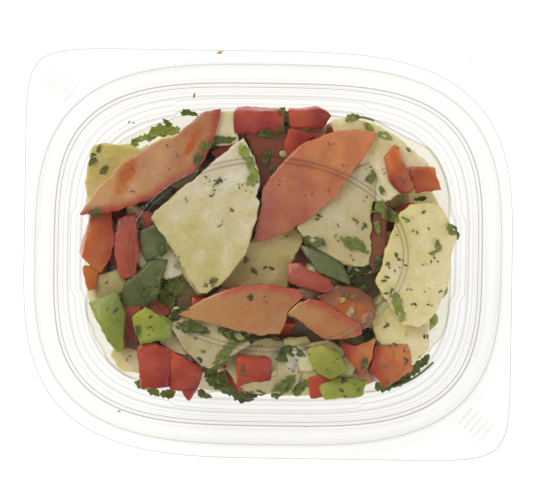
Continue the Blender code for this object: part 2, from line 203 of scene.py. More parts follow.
# %% Levels of the tub and the lid
# The last power squares two corners of the lid's flange, and further on the front of the heap.
Outline = namedtuple("Outline", "half_x half_y power tab_power")
FLANGE = Outline(71.1, 59.3, 3.2, 3.2)
TABBED = Outline(71.1, 59.3, 3.2, 11.6)
BEAD = Outline(68.4, 55.9, 3.2, 3.2)
PLUG = Outline(62.1, 49.6, 3.46, 3.46)
PANEL = Outline(58.2, 46.0, 3.46, 3.46)
FOOT = Outline(56.6, 44.0, 3.5, 3.5)
OVAL = Outline(40.1, 27.6, 2.0, 2.0)
MIDDLE = Outline(0.001, 0.001, 2.0, 2.0)
TUB_WALL = 0.5
LID_WALL = 0.4
FLOOR = 1.6

# Outline, how far in from it, height, share of the wall panels' bulge, and how dark a line it draws
TUB_LEVELS = (
    (FLANGE, 0.9, 41.6, 0, 0.3),
    (FLANGE, 1.2, 41.6, 0, 0.0),
    (BEAD, 1.2, 41.6, 0, 0.3),
    (BEAD, 1.6, 44.0, 0, 0.3),
    (BEAD, 2.6, 44.6, 0, 0.1),
    (PLUG, -1.6, 44.6, 0, 0.1),
    (PLUG, -0.6, 44.0, 0, 0.4),
    (PLUG, 0.0, 38.5, 0, 1.1),
    (PLUG, 0.9, 37.5, 0, 0.7),
    (PLUG, 1.4, 32.0, 0, 0.0),
    (FOOT, -1.2, 3.2, 1, 0.9),
    (FOOT, 0.2, 1.0, 1, 0.3),
    (FOOT, 1.4, 0.5, 1, 0.6),
    (FOOT, 5.0, 0.5, 0, 0.1),
    (FOOT, 7.0, 1.6, 0, 0.1),
    (MIDDLE, 0, 1.6, 0, 0),
)
LID_LEVELS = (
    (TABBED, 0.0, 42.0, 0, 1.6),
    (TABBED, 0.6, 42.0, 0, 0.0),
    (BEAD, -0.3, 42.0, 0, 0.0),
    (BEAD, 0.4, 42.0, 0, 1.5),
    (BEAD, 0.9, 44.5, 0, 0.9),
    (BEAD, 2.2, 45.1, 0, 0.1),
    (PLUG, -1.3, 45.1, 0, 0.1),
    (PLUG, -0.3, 44.4, 0, 0.6),
    (PLUG, 0.5, 40.4, 0, 1.7),
    (PLUG, 1.5, 39.9, 0, 0.2),
    (PLUG, 2.6, 39.9, 0, 0.5),
    (PANEL, 0.0, 41.4, 0, 0.6),
    (OVAL, -1.0, 41.4, 0, 0.1),
    (OVAL, -0.6, 42.2, 0, 1.0),
    (OVAL, 0.6, 42.2, 0, 1.0),
    (OVAL, 1.0, 41.4, 0, 0.1),
    (MIDDLE, 0, 41.4, 0, 0),
)


def level_row(outline, inset, height, panel, line):
    """One level as numbers: half sizes and height in metres, two powers, panel share and line."""
    half_x, half_y = (outline.half_x - inset) * MM, (outline.half_y - inset) * MM
    return np.array((half_x, half_y, height * MM, outline.power, outline.tab_power, panel, line))


def rounded(rows, radius, steps=6):
    """Turns each corner into a small curve, whose line is darkest in its middle."""
    smooth = [rows[0]]
    for before, corner, after in zip(rows, rows[1:], rows[2:]):
        ends = []
        for other in (before, after):
            span = np.linalg.norm((other - corner)[[0, 2]])
            ends.append(corner + (other - corner) * min(0.42, radius / span))
        for step in range(steps + 1):
            t = step / steps
            point = ends[0] * (1 - t) ** 2 + corner * 2 * t * (1 - t) + ends[1] * t**2
            point[6] = corner[6] * (4 * t * (1 - t)) ** 2
            smooth.append(point)
    return smooth + [rows[-1]]


print(len(TUB_LEVELS), "levels for the tub,", len(LID_LEVELS), "for the lid")

# %% [markdown]
# The tree reads the chain of points as its own geometry. A flat grid has one line of vertices for
# each level, and each vertex finds its level and its direction from its index. The superellipse
# rule then gives its distance from the middle. Two opposite quarters of the lid's flange use a
# higher power, which squares them into finger tabs.

# %% A geometry tree for a moulded sheet
def new_tree(name, inputs):
    """A geometry tree with named inputs, and the sockets that give them."""
    tree = bpy.data.node_groups.new(name, "GeometryNodeTree")
    tree.interface.new_socket("Geometry", in_out="OUTPUT", socket_type="NodeSocketGeometry")
    for label, kind in {"Geometry": "Geometry", **inputs, "Material": "Material"}.items():
        tree.interface.new_socket(label, in_out="INPUT", socket_type=f"NodeSocket{kind}")
    return tree, node(tree, "GroupInput").outputs


def end_tree(tree, given, geometry):
    """Ends a tree with smooth, real geometry in the material that it was given."""
    smooth = node(tree, "SetShadeSmooth", {"Geometry": geometry})
    real = node(tree, "RealizeInstances", {"Geometry": smooth})
    painted = node(tree, "SetMaterial", {"Geometry": real, "Material": given["Material"]})
    node(tree, "GroupOutput", {"Geometry": painted})


sheet_tree, given = new_tree("moulded_sheet", {"Steps Around": "Int", "Bulge": "Float", "Notch": "Float"})
tree = sheet_tree
index = node(tree, "InputIndex")
columns = node(tree, "IntegerMath.ADD", (given["Steps Around"], 1))
level = node(tree, "IntegerMath.DIVIDE", (index, columns))
step = node(tree, "IntegerMath.MODULO", (index, columns))
turn = node(tree, "Math.DIVIDE", (node(tree, "Math.MULTIPLY", (step, TAU)), given["Steps Around"]))
across, along = [node(tree, kind, (turn,)) for kind in ("Math.COSINE", "Math.SINE")]
corner_shape = node(tree, "InputNamedAttribute", {"Name": "shape"}, data_type="FLOAT_VECTOR")
sampled = [
    node(tree, "SampleIndex", {
        "Geometry": given["Geometry"], "Value": value, "Index": level,
    }, data_type="FLOAT_VECTOR", clamp=True)
    for value in (node(tree, "InputPosition"), corner_shape)
]
half, shape = [node(tree, "SeparateXYZ", (values,)).outputs for values in sampled]
in_tab = node(tree, "Math.LESS_THAN", (node(tree, "Math.MULTIPLY", (across, along)), 0.0))
extra_power = node(tree, "Math.MULTIPLY", (in_tab, node(tree, "Math.SUBTRACT", (shape[1], shape[0]))))
power = node(tree, "Math.ADD", (shape[0], extra_power))
parts = []
for way, size in ((across, half[0]), (along, half[1])):
    share = node(tree, "Math.ABSOLUTE", (node(tree, "Math.DIVIDE", (way, size)),))
    parts.append(node(tree, "Math.POWER", (share, power)))
inverse = node(tree, "Math.DIVIDE", (-1.0, power))
reach = node(tree, "Math.POWER", (node(tree, "Math.ADD", parts), inverse))
print(len(tree.nodes), "nodes so far")

# %% [markdown]
# The middle of each side wall bulges out a little as a flat panel. A map range gives the panel's
# share in each direction, from 1 in its middle to 0 past its ends, and a shallow notch marks each
# end, where the mould's corner pieces meet its side pieces.

# %% Panels in the walls
PANEL_X = (27.0 * MM, 30.0 * MM)
PANEL_Y = (10.5 * MM, 15.5 * MM)
MERGE_DISTANCE = 2e-6
sides = []
for way, (full, gone) in ((across, PANEL_X), (along, PANEL_Y)):
    off_axis = node(tree, "Math.ABSOLUTE", (node(tree, "Math.MULTIPLY", (reach, way)),))
    sides.append(node(tree, "MapRange", {
        "Value": off_axis, "From Min": full, "From Max": gone, "To Min": 1.0, "To Max": 0.0,
    }, interpolation_type="SMOOTHSTEP"))
side = node(tree, "Math.MAXIMUM", sides)
bulge = node(tree, "Math.MULTIPLY", (side, given["Bulge"]))
at_end = node(tree, "Math.MULTIPLY", (side, node(tree, "Math.SUBTRACT", (1.0, side))))
notch = node(tree, "Math.MULTIPLY", (at_end, given["Notch"]))
moved = node(tree, "Math.MULTIPLY", (node(tree, "Math.SUBTRACT", (bulge, notch)), shape[2]))
far = node(tree, "Math.ADD", (reach, moved))
x, y = [node(tree, "Math.MULTIPLY", (far, way)) for way in (across, along)]
point = node(tree, "CombineXYZ", (x, y, half[2]))
level_count = node(tree, "AttributeDomainSize", {"Geometry": given["Geometry"]})
flat = node(tree, "MeshGrid", {"Vertices X": level_count, "Vertices Y": columns})
line = node(tree, "InputNamedAttribute", {"Name": "line"})
line_here = node(tree, "SampleIndex", {
    "Geometry": given["Geometry"], "Value": line, "Index": level,
}, clamp=True)
lined = node(tree, "StoreNamedAttribute", {"Geometry": flat, "Name": "line", "Value": line_here})
laid = node(tree, "SetPosition", {"Geometry": lined, "Position": point})
joined = node(tree, "MergeByDistance", {"Geometry": laid, "Distance": MERGE_DISTANCE})
end_tree(tree, given, node(tree, "FlipFaces", {"Mesh": joined}))
print(len(tree.nodes), "nodes draw a moulded sheet")


# %% Running a tree
def run_tree(name, mesh, tree, values, wall=0):
    """Runs a geometry tree on a mesh, gives it a wall, and shows the plain result."""
    carrier = show(name + "_carrier", mesh)
    modifier = carrier.modifiers.new(name, "NODES")
    modifier.node_group = tree
    for item in tree.interface.items_tree:
        if item.in_out == "INPUT" and item.name in values:
            modifier[item.identifier] = values[item.name]
    if wall:
        carrier.modifiers.new("wall", "SOLIDIFY").thickness = wall
    ready = carrier.evaluated_get(bpy.context.evaluated_depsgraph_get())
    made = bpy.data.meshes.new_from_object(ready)
    made.name = name
    bpy.data.objects.remove(carrier)
    return show(name, made)


def new_mesh(name, points, edges=(), faces=()):
    """A mesh from lists of points, edges and faces."""
    mesh = bpy.data.meshes.new(name)
    mesh.from_pydata(points, edges, faces)
    return mesh


def store(mesh, label, values, kind="FLOAT"):
    """Keeps one value for each vertex under a name that trees and materials can read."""
    part = {"FLOAT": "value", "FLOAT_VECTOR": "vector", "FLOAT_COLOR": "color"}[kind]
    mesh.attributes.new(label, kind, "POINT").data.foreach_set(part, np.ravel(values))


def chain_mesh(name, rows):
    """The levels as a chain of points with their shape numbers."""
    links = [(k, k + 1) for k in range(len(rows) - 1)]
    mesh = new_mesh(name, [tuple(row[:3]) for row in rows], links)
    store(mesh, "shape", [row[3:6] for row in rows], "FLOAT_VECTOR")
    store(mesh, "line", [row[6] for row in rows])
    return mesh


# %% [markdown]
# ## Clear PET
#
# Thermoformed PET is glossy and almost without colour. A flat sheet passes nearly all light at any
# angle, and only a tight bend throws it aside, like the rim of a lens. So the bends draw thin grey
# lines and the rest can hardly be seen. A Transparent shader that darkens with the stored line
# gives the lines, and a mirror gloss is mixed in, more at bends and at a glancing view. A
# refracting glass shader would also work, but it needs far more light paths for the same lines.

# %% Clear plastic for the tub and the lid
def clear_pet(name, flat_colour, bent_colour, mirror, wave):
    """Thin clear sheet: its colour where flat and where bent, its mirror share and its ripple."""
    made, tree, place = new_material(name)
    facing = node(tree, "LayerWeight", {"Blend": 0.5}).outputs["Facing"]
    line = node(tree, "Attribute", attribute_name="line").outputs["Fac"]
    shares = []
    # At a glancing view: the power that narrows it and its strength. At a bend: the line's strength.
    for narrow, at_glance, at_bend in ((30.0, 0.8, 0.44), (20.0, 0.5, 0.02)):
        glancing = node(tree, "Math.MULTIPLY", (node(tree, "Math.POWER", (facing, narrow)), at_glance))
        shares.append((glancing, node(tree, "Math.MULTIPLY", (line, at_bend))))
    (dark_glance, dark_bend), (gloss_glance, gloss_bend) = shares
    through = node(tree, "Mix", {
        "Factor": node(tree, "Math.ADD", (dark_glance, dark_bend)),
        "A": linear(flat_colour),
        "B": linear(bent_colour),
    }, data_type="RGBA", clamp_factor=True)
    clear = node(tree, "BsdfTransparent", {"Color": through})
    uneven = node(tree, "TexNoise", {"Vector": place, "Scale": 70.0, "Detail": 2.0})
    bump = node(tree, "Bump", {"Height": uneven, "Strength": wave, "Distance": 0.5 * MM})
    gloss = node(tree, "BsdfAnisotropic", {"Color": linear("#ffffff"), "Roughness": 0.06, "Normal": bump})
    share = node(tree, "Math.ADD", (node(tree, "Math.ADD", (mirror, gloss_glance)), gloss_bend))
    node(tree, "OutputMaterial", {"Surface": node(tree, "MixShader", (share, clear, gloss))})
    return made


tub_pet = clear_pet("pet_tub_thermoformed", "#fbfbfb", "#8c8278", 0.012, 0.2)
lid_pet = clear_pet("pet_lid_thermoformed", "#f7f7f6", "#7f6f5e", 0.012, 0.15)
print(len(tub_pet.node_tree.nodes), "nodes in", tub_pet.name)

# %% Make the tub and the lid
STEPS_AROUND = 432
BEND_RADIUS = 0.55 * MM
PANEL_BULGE = 1.2 * MM
PANEL_NOTCH = 2.0 * MM


def points_and_normals(mesh):
    """Where the vertices are and which way they face, as rows of three."""
    both = np.empty((2, len(mesh.vertices) * 3))
    for row, label in zip(both, ("co", "normal")):
        mesh.vertices.foreach_get(label, row)
    return both.reshape(2, -1, 3)


def dress(made, solid):
    """Says what a piece rides on and which solid it stands for."""
    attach(made, BODY)
    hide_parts(solid)
    print(made.name, len(made.data.polygons), "faces")


def make_shell(name, levels, material, outward):
    """A moulded sheet, moved out by part of a millimetre along its normals."""
    rows = rounded([level_row(*row) for row in levels], BEND_RADIUS)
    shell = run_tree(name, chain_mesh(name + "_levels", rows), sheet_tree, {
        "Steps Around": STEPS_AROUND, "Bulge": PANEL_BULGE, "Notch": PANEL_NOTCH, "Material": material,
    })
    points, normals = points_and_normals(shell.data)
    shell.data.vertices.foreach_set("co", np.ravel(points + normals * outward * MM))
    shell.data.update()
    return shell


tub = make_shell("tub_shell", TUB_LEVELS, tub_pet, -TUB_WALL)
dress(tub, "tub")
lid = make_shell("lid_shell", LID_LEVELS, lid_pet, LID_WALL)
dress(lid, "lid")

# %% [markdown]
# ## Grip ribs on the tabs
#
# Each finger tab has a few short raised ribs, moulded in the same sheet, so that a thumb doesn't
# slip. They repeat, so a tree sets a row of stretched spheres along a line and puts that row on
# each tab.

# %% Grip ribs by Geometry Nodes
grip_tree, given = new_tree("grip_ribs", {
    "Count": "Int", "Spacing": "Float", "Rib Size": "Vector", "Turn": "Float",
})
tree = grip_tree
gaps = node(tree, "Math.SUBTRACT", (given["Count"], 1))
row_length = node(tree, "Math.MULTIPLY", (given["Spacing"], gaps))
row_start = node(tree, "Math.MULTIPLY", (row_length, -0.5))
row = node(tree, "MeshLine", {
    "Count": given["Count"],
    "Start Location": node(tree, "CombineXYZ", {1: row_start}),
    "Offset": node(tree, "CombineXYZ", {1: given["Spacing"]}),
})
ball = node(tree, "MeshUVSphere", {"Segments": 20, "Rings": 10, "Radius": 1.0})
rib = node(tree, "Transform", {"Geometry": ball, "Scale": given["Rib Size"]})
ribs = node(tree, "InstanceOnPoints", {"Points": row, "Instance": rib})
ribs = node(tree, "Transform", {
    "Geometry": ribs, "Rotation": node(tree, "CombineXYZ", {2: given["Turn"]}),
})
end_tree(tree, given, node(tree, "InstanceOnPoints", {"Points": given["Geometry"], "Instance": ribs}))

GRIP_X, GRIP_Y, GRIP_HEIGHT = 61.0 * MM, -48.6 * MM, 42.38 * MM
grip_points = new_mesh("grip_points", [(GRIP_X, GRIP_Y, GRIP_HEIGHT), (-GRIP_X, -GRIP_Y, GRIP_HEIGHT)])
grips = run_tree("lid_grip_ribs", grip_points, grip_tree, {
    "Count": 5,
    "Spacing": 1.9 * MM,
    "Rib Size": (3.4 * MM, 0.5 * MM, 0.28 * MM),
    "Turn": math.radians(51),
    "Material": lid_pet,
})
dress(grips, "lid")

# %% [markdown]
# ## Cut food
#
# A knife leaves flat faces and crisp corners, and boiling and tossing then round and crumble them
# a little. So each piece starts as a plain slab between its outline and a smaller one below. A
# voxel remesh gives it even faces, a few rounds of smoothing melt its edges, and noise makes its
# faces uneven. Sculpting would give more character to one piece, but here are over a hundred.
#
# Each vertex keeps how deep it lies under the skin, in millimetres, and the piece's two colours.
# The materials read them as attributes, so all pieces of one kind are one mesh.

# %% Slabs with ragged edges
Cut = namedtuple("Cut", "top thick tilt_x tilt_y dome skin paint corners pockets", defaults=((),))
RAGGED_STEP = 1.2
RAGGED_AMOUNT = 0.22


def ragged(corners, rng):
    """More points along an outline, each a little off the straight cut."""
    points = []
    for one, other in zip(corners, corners[1:] + corners[:1]):
        one, other = Vector(one), Vector(other)
        count = max(1, round((other - one).length / RAGGED_STEP))
        for k in range(count):
            off = Vector((rng.uniform(-1, 1), rng.uniform(-1, 1))) * RAGGED_AMOUNT * (k > 0)
            points.append(one.lerp(other, k / count) + off)
    return points


def slab(corners, thick, under):
    """A solid between an outline and the same outline, smaller, below it."""
    bm = bmesh.new()
    upper = [bm.verts.new((p.x, p.y, 0)) for p in corners]
    lower = [bm.verts.new((p.x * under, p.y * under, -thick)) for p in corners]
    bm.faces.new(upper)
    bm.faces.new(lower[::-1])
    for k in range(len(corners)):
        after = (k + 1) % len(corners)
        bm.faces.new((upper[k], lower[k], lower[after], upper[after]))
    bmesh.ops.recalc_face_normals(bm, faces=bm.faces)
    return bm


# %% Softening and uneven faces
MELT_ROUNDS = 2


def softened(bm, voxel):
    """Points, faces and normals of a rough shape after a voxel remesh and smoothing."""
    rough = mesh_from("rough", bm)
    holder = show("rough", rough)
    remesh = holder.modifiers.new("even_faces", "REMESH")
    remesh.mode = "VOXEL"
    remesh.voxel_size = voxel
    smoothing = holder.modifiers.new("melted_edges", "SMOOTH")
    smoothing.factor = 0.5
    smoothing.iterations = MELT_ROUNDS
    evaluated = holder.evaluated_get(bpy.context.evaluated_depsgraph_get())
    ready = bpy.data.meshes.new_from_object(evaluated)
    points, normals = points_and_normals(ready)
    faces = [tuple(face.vertices) for face in ready.polygons]
    bpy.data.objects.remove(holder)
    for mesh in (ready, rough):
        bpy.data.meshes.remove(mesh)
    return points, faces, normals


def uneven(points, normals, seed, sizes):
    """Moves points along their normals by noise of each size and height, in millimetres."""
    moved = points.copy()
    for size, height in sizes:
        lifts = [noise.noise(Vector(point) / size + Vector((seed, 0, size))) for point in points]
        moved += normals * (np.array(lifts) * height)[:, None]
    return moved


def edge_distance(points, chain):
    """How far points are, seen from above, from a chain of straight lines."""
    nearest = np.full(len(points), 99.0)
    for one, other in zip(chain, chain[1:]):
        start, line = np.array(one), np.array(other) - np.array(one)
        t = np.clip(((points[:, :2] - start) @ line) / max(1e-9, line @ line), 0, 1)
        gap = np.linalg.norm(points[:, :2] - (start + t[:, None] * line), axis=1)
        nearest = np.minimum(nearest, gap)
    return nearest


# %% [markdown]
# The heap presses against the tub's wall, and its top pieces touch the lid. Rather than fit each
# piece by hand, every point that would be outside the tub's inner wall is drawn back to it. That
# also gives the flattened faces that wet food has against clear plastic.

# %% Keep pieces inside the tub
WALL_GAP = 0.5
FOOT_TOP, WALL_TOP = 3.2, 32.0
INNER_X, INNER_Y, INNER_FLARE, FOOT_CURVE = 57.8, 45.2, 2.9, 1.6
UNDER_PANEL, UNDER_EDGE, EDGE_SHARE = 41.1, 39.4, 0.93


def inside_tub(points, top=99.0):
    """Draws points back behind the wall, the floor and the lid, and under a top height."""
    x, y, z = points.T
    rise = np.clip((z - FOOT_TOP) / (WALL_TOP - FOOT_TOP), 0, 1)
    curve = FOOT_CURVE * np.clip((FOOT_TOP - z) / 2.2, 0, 1)
    half_x, half_y = [half + INNER_FLARE * rise - WALL_GAP - curve for half in (INNER_X, INNER_Y)]
    over = (np.abs(x / half_x) ** FOOT.power + np.abs(y / half_y) ** FOOT.power) ** (1 / FOOT.power)
    shrink = np.maximum(over, 1)
    lid_above = np.where(over > EDGE_SHARE, UNDER_EDGE, UNDER_PANEL)
    height = np.clip(z, FLOOR + 0.35, np.minimum(lid_above, top))
    return np.stack((x / shrink, y / shrink, height), axis=1)


print("room at the foot:", 2 * INNER_X, "by", 2 * INNER_Y, "mm")


# %% A collector for the pieces of one kind
class Kind:
    """Collects the pieces of one kind of food, and makes them one mesh."""

    def __init__(self, name):
        self.name = name
        self.points, self.faces, self.depths, self.skins, self.fleshes = [], [], [], [], []

    def add(self, points, faces, depth, skin, flesh):
        first = sum(len(block) for block in self.points)
        self.points.append(points)
        self.faces += [tuple(corner + first for corner in face) for face in faces]
        self.depths.append(depth)
        self.skins.append(np.tile(linear(skin), (len(points), 1)))
        self.fleshes.append(flesh)

    def build(self, material):
        mesh = new_mesh(self.name, (np.concatenate(self.points) * MM).tolist(), faces=self.faces)
        store(mesh, "depth", np.concatenate(self.depths))
        store(mesh, "skin", np.concatenate(self.skins), "FLOAT_COLOR")
        store(mesh, "flesh", np.concatenate(self.fleshes), "FLOAT_COLOR")
        mesh.shade_smooth()
        mesh.materials.append(material)
        made = show(self.name, mesh)
        print(len(self.points), "pieces,", sum(len(face) - 2 for face in self.faces), "triangles:")
        dress(made, "salad_heap")
        return made


# %% One cut piece
def blend(points, paint, size, seed):
    """Flesh colour at each point: one colour, turning to another towards one side."""
    skin, near, far, side = paint
    way = np.array((math.cos(math.radians(side)), math.sin(math.radians(side))))
    drift = [noise.noise(Vector(point) / 5 + Vector((0, seed, 9))) for point in points]
    share = np.clip(0.5 + points[:, :2] @ way / size + 0.45 * np.array(drift), 0, 1)[:, None]
    return np.array(linear(near)) * (1 - share) + np.array(linear(far)) * share


CUT_VOXEL = 0.7
CUT_UNDER = 0.85
ALL_FLESH = 20.0


def add_cut(kind, cut, seed, lumps):
    """One cut piece: shaped in its own place, tilted, then set with its top at its height."""
    rng = random.Random(seed)
    middle = sum((Vector(corner) for corner in cut.corners), Vector((0, 0))) / len(cut.corners)
    outline = [Vector(corner) - middle for corner in cut.corners]
    points, faces, normals = softened(slab(ragged(outline, rng), cut.thick, CUT_UNDER), CUT_VOXEL)
    if cut.skin == "top":
        depth = -points[:, 2]
    elif cut.skin:
        first, last = cut.skin
        chain = [tuple(outline[k % len(outline)]) for k in range(first, last + 1)]
        depth = edge_distance(points, chain)
    else:
        depth = np.full(len(points), ALL_FLESH)
    flesh = blend(points, cut.paint, max(corner.length for corner in outline) * 1.4, seed)
    for x, y, length, width, angle, dip in cut.pockets:
        gap = points[:, :2] - (x - middle.x, y - middle.y)
        way = math.radians(angle)
        along = (gap @ (math.cos(way), math.sin(way))) / length
        across = (gap @ (-math.sin(way), math.cos(way))) / width
        rough_edge = [noise.noise(Vector(point) / 2.5) for point in points]
        near = np.clip(1.1 - along**2 - across**2 + 0.5 * np.array(rough_edge), 0, 1)
        share = near**2 * (3 - 2 * near) * (points[:, 2] > -3)
        points[:, 2] -= dip * share
        flesh = flesh * (1 - share[:, None]) + np.array(linear(GEL)) * share[:, None]
    points = uneven(points, normals, seed, lumps)
    if cut.dome:
        points[:, 2] -= (points[:, 0] ** 2 + points[:, 1] ** 2) / (2 * cut.dome)
    turn = Matrix.Rotation(math.radians(cut.tilt_x), 3, "X")
    turn = np.array(turn @ Matrix.Rotation(math.radians(cut.tilt_y), 3, "Y"))
    points = points @ turn.T
    points += (middle.x, middle.y, cut.top - points[:, 2].max())
    kind.add(inside_tub(points), faces, depth, cut.paint[0], flesh)


# %% [markdown]
# ## The pieces on top
#
# The pieces under the lid give this salad its look, so each has its own outline, in millimetres
# from the tub's middle. The tables also give the height of its top, its thickness, its tilts in
# degrees, and the radius that its face is domed to. The skin is on top, or along a stretch of the
# outline, counted by corners, or it is missing. The paint is the skin's colour, two colours for
# the flesh, and the direction in degrees from the first of these to the second.

# %% Potato pieces on top
PALE_POTATO = ("#d6c8a6", "#ded8c8", "#c9c28b", 250)
# Painted shade: a duller, greyer copy of the pale potato, for a piece that lies in shade.
SHADE_DULLED_POTATO = ("#d6c8a6", "#cec6ac", "#c0b68c", 250)
YELLOW_POTATO = ("#dccf9a", "#ece4c4", "#dbd298", 160)
FRESH_POTATO = ("#d8c878", "#ddd296", "#cfc474", 60)
# Painted light: a lighter copy of the potato colours, for pieces that would otherwise look shaded.
LIGHT_PAINTED_POTATO = ("#f0e4c2", "#f2ecd2", "#dfd8aa", 90)
# Painted shade: a greyer, darker copy of the potato colours, for pieces that lie low in the heap.
PAINTED_SHADE_POTATO = ("#bcae88", "#cdc4a4", "#b5ac84", 200)
# Partly the potato's olive tone and partly painted shade: darker, for pieces that lie low between others.
OLIVE_SHADE_POTATO = ("#c4b480", "#c4b78a", "#a69a62", 300)
POTATO_CUTS = (
    Cut(41.0, 17, 2, -3, 0, None, PALE_POTATO, (
        (-7.9, 34.1), (-5.8, 31), (-4, 27.5), (-3, 24), (-2.7, 20.2), (-3.8, 17), (-2.6, 15.6),
        (-3.1, 11.5), (-5.3, 4.2), (-6.2, 0.7), (-9, -3.5), (-12.4, -7.6), (-17.3, -11.8),
        (-19.7, -12.1), (-22.6, -8.6), (-26.2, -2.6), (-30.1, 3.8), (-32.5, 6.7), (-34.9, 9.8),
        (-34, 11.9), (-24.5, 19.9), (-18.8, 24.9), (-13, 29.7))),
    Cut(38.6, 16, -2, 3, 0, None, SHADE_DULLED_POTATO, (
        (26.4, 26.5), (29.9, 27.2), (31.7, 22.8), (31.4, 18.7), (30.1, 14.3), (30.3, 1.8),
        (30, -2.6), (26.8, -3.2), (22.5, -2.7), (15.1, 1.6), (11.6, 3.6), (8.3, 7.3),
        (10, 16), (20.7, 22.7))),
    Cut(40.4, 17, 2, 1, 420, None, YELLOW_POTATO, (
        (39.1, 13.6), (41.1, 15.7), (46.9, 16.4), (49.9, 15.2), (51.9, 12.1), (54.9, 8),
        (55.3, 5.1), (54.4, 3.6), (53.6, -1.3), (52.6, -8), (49.8, -15.4), (46.9, -19.8),
        (44.6, -20.7), (38.8, -19.9), (37.2, -17), (34.3, -12.7), (31.3, -8.4), (31, -6.9),
        (33.2, -2.5), (34, 1.9), (36, 7.1), (37.7, 12.1))),
    Cut(34.8, 15, -4, 2, 0, None, YELLOW_POTATO, (
        (30, -16.6), (34.3, -12.7), (38.8, -14.9), (47.9, -17.8), (47.6, -27.1), (43.3, -31.5),
        (37.4, -28.7), (31.6, -25.9))),
    Cut(36.5, 15, -5, 4, 0, None, LIGHT_PAINTED_POTATO, (
        (17.4, 39.5), (23.2, 40.5), (30.5, 39.1), (36.4, 36), (40.8, 32.6), (46.2, 28.3),
        (47.7, 25.4), (41.6, 20.9), (38.2, 18), (31.8, 14.4), (26, 22), (20, 33))),
    Cut(35.4, 15, 4, -4, 0, None, FRESH_POTATO, (
        (-52.4, 30.2), (-49.5, 32), (-42.2, 31.6), (-35.8, 29.9), (-40.1, 21.4), (-49.3, 11.5),
        (-52.7, 13.6), (-54, 19.4), (-53.8, 25.3))),
    Cut(32.5, 14, -4, -3, 0, None, YELLOW_POTATO, (
        (-46.2, -30), (-43.3, -25), (-35.4, -25.4), (-34.8, -35.7), (-42.6, -34.9))),
    Cut(36.8, 15, -3, 2, 0, None, PAINTED_SHADE_POTATO, (
        (-28.8, -20.4), (-22.4, -17.9), (-9.3, -20.6), (-4.3, -26.4), (-12.1, -31.5),
        (-16.4, -33.6), (-19.3, -32.8), (-23.8, -28.8))),
    Cut(35.2, 14, 3, -2, 0, None, OLIVE_SHADE_POTATO, (
        (-16, -9), (-9.7, 0.7), (-3.8, 4.8), (8.3, 8.7), (10.4, 4.4), (7.4, -2.1), (6.1, -10.8),
        (-8, -12))),
    Cut(32.5, 14, 0, -5, 0, None, OLIVE_SHADE_POTATO, (
        (-52.2, -7.2), (-43.1, -4.6), (-39.5, -11), (-50.2, -15))),
    Cut(34.0, 14, -5, 0, 0, None, PAINTED_SHADE_POTATO, (
        (-10.7, -24.5), (1, -24.3), (9.7, -26.2), (9.9, -37.8), (5.6, -40.8), (-1.1, -40.9),
        (-7.6, -39.6), (-12, -33.8))),
    Cut(32.5, 13, 4, 2, 0, None, YELLOW_POTATO, (
        (2.5, -27.2), (18.5, -24.7), (27, -30), (24.2, -39.8), (10, -41.6), (1.8, -40.9))),
    Cut(36.0, 18, 4, 0, 0, None, LIGHT_PAINTED_POTATO, ((-18, 42), (-10, 42), (-9, 32), (-19, 31))),
    Cut(30.5, 13, 4, 3, 0, None, PALE_POTATO, ((-5, 42.5), (16, 42.5), (17, 33), (-4, 32))),
)
print(len(POTATO_CUTS), "potato pieces on top")

# %% [markdown]
# Tomato wedges lie cut face up or skin up. The outer wall is firm salmon flesh, paler inside, and
# pink to red next to the skin. Two pieces still hold pockets of orange gel: place, half length, half
# width, angle and depth.

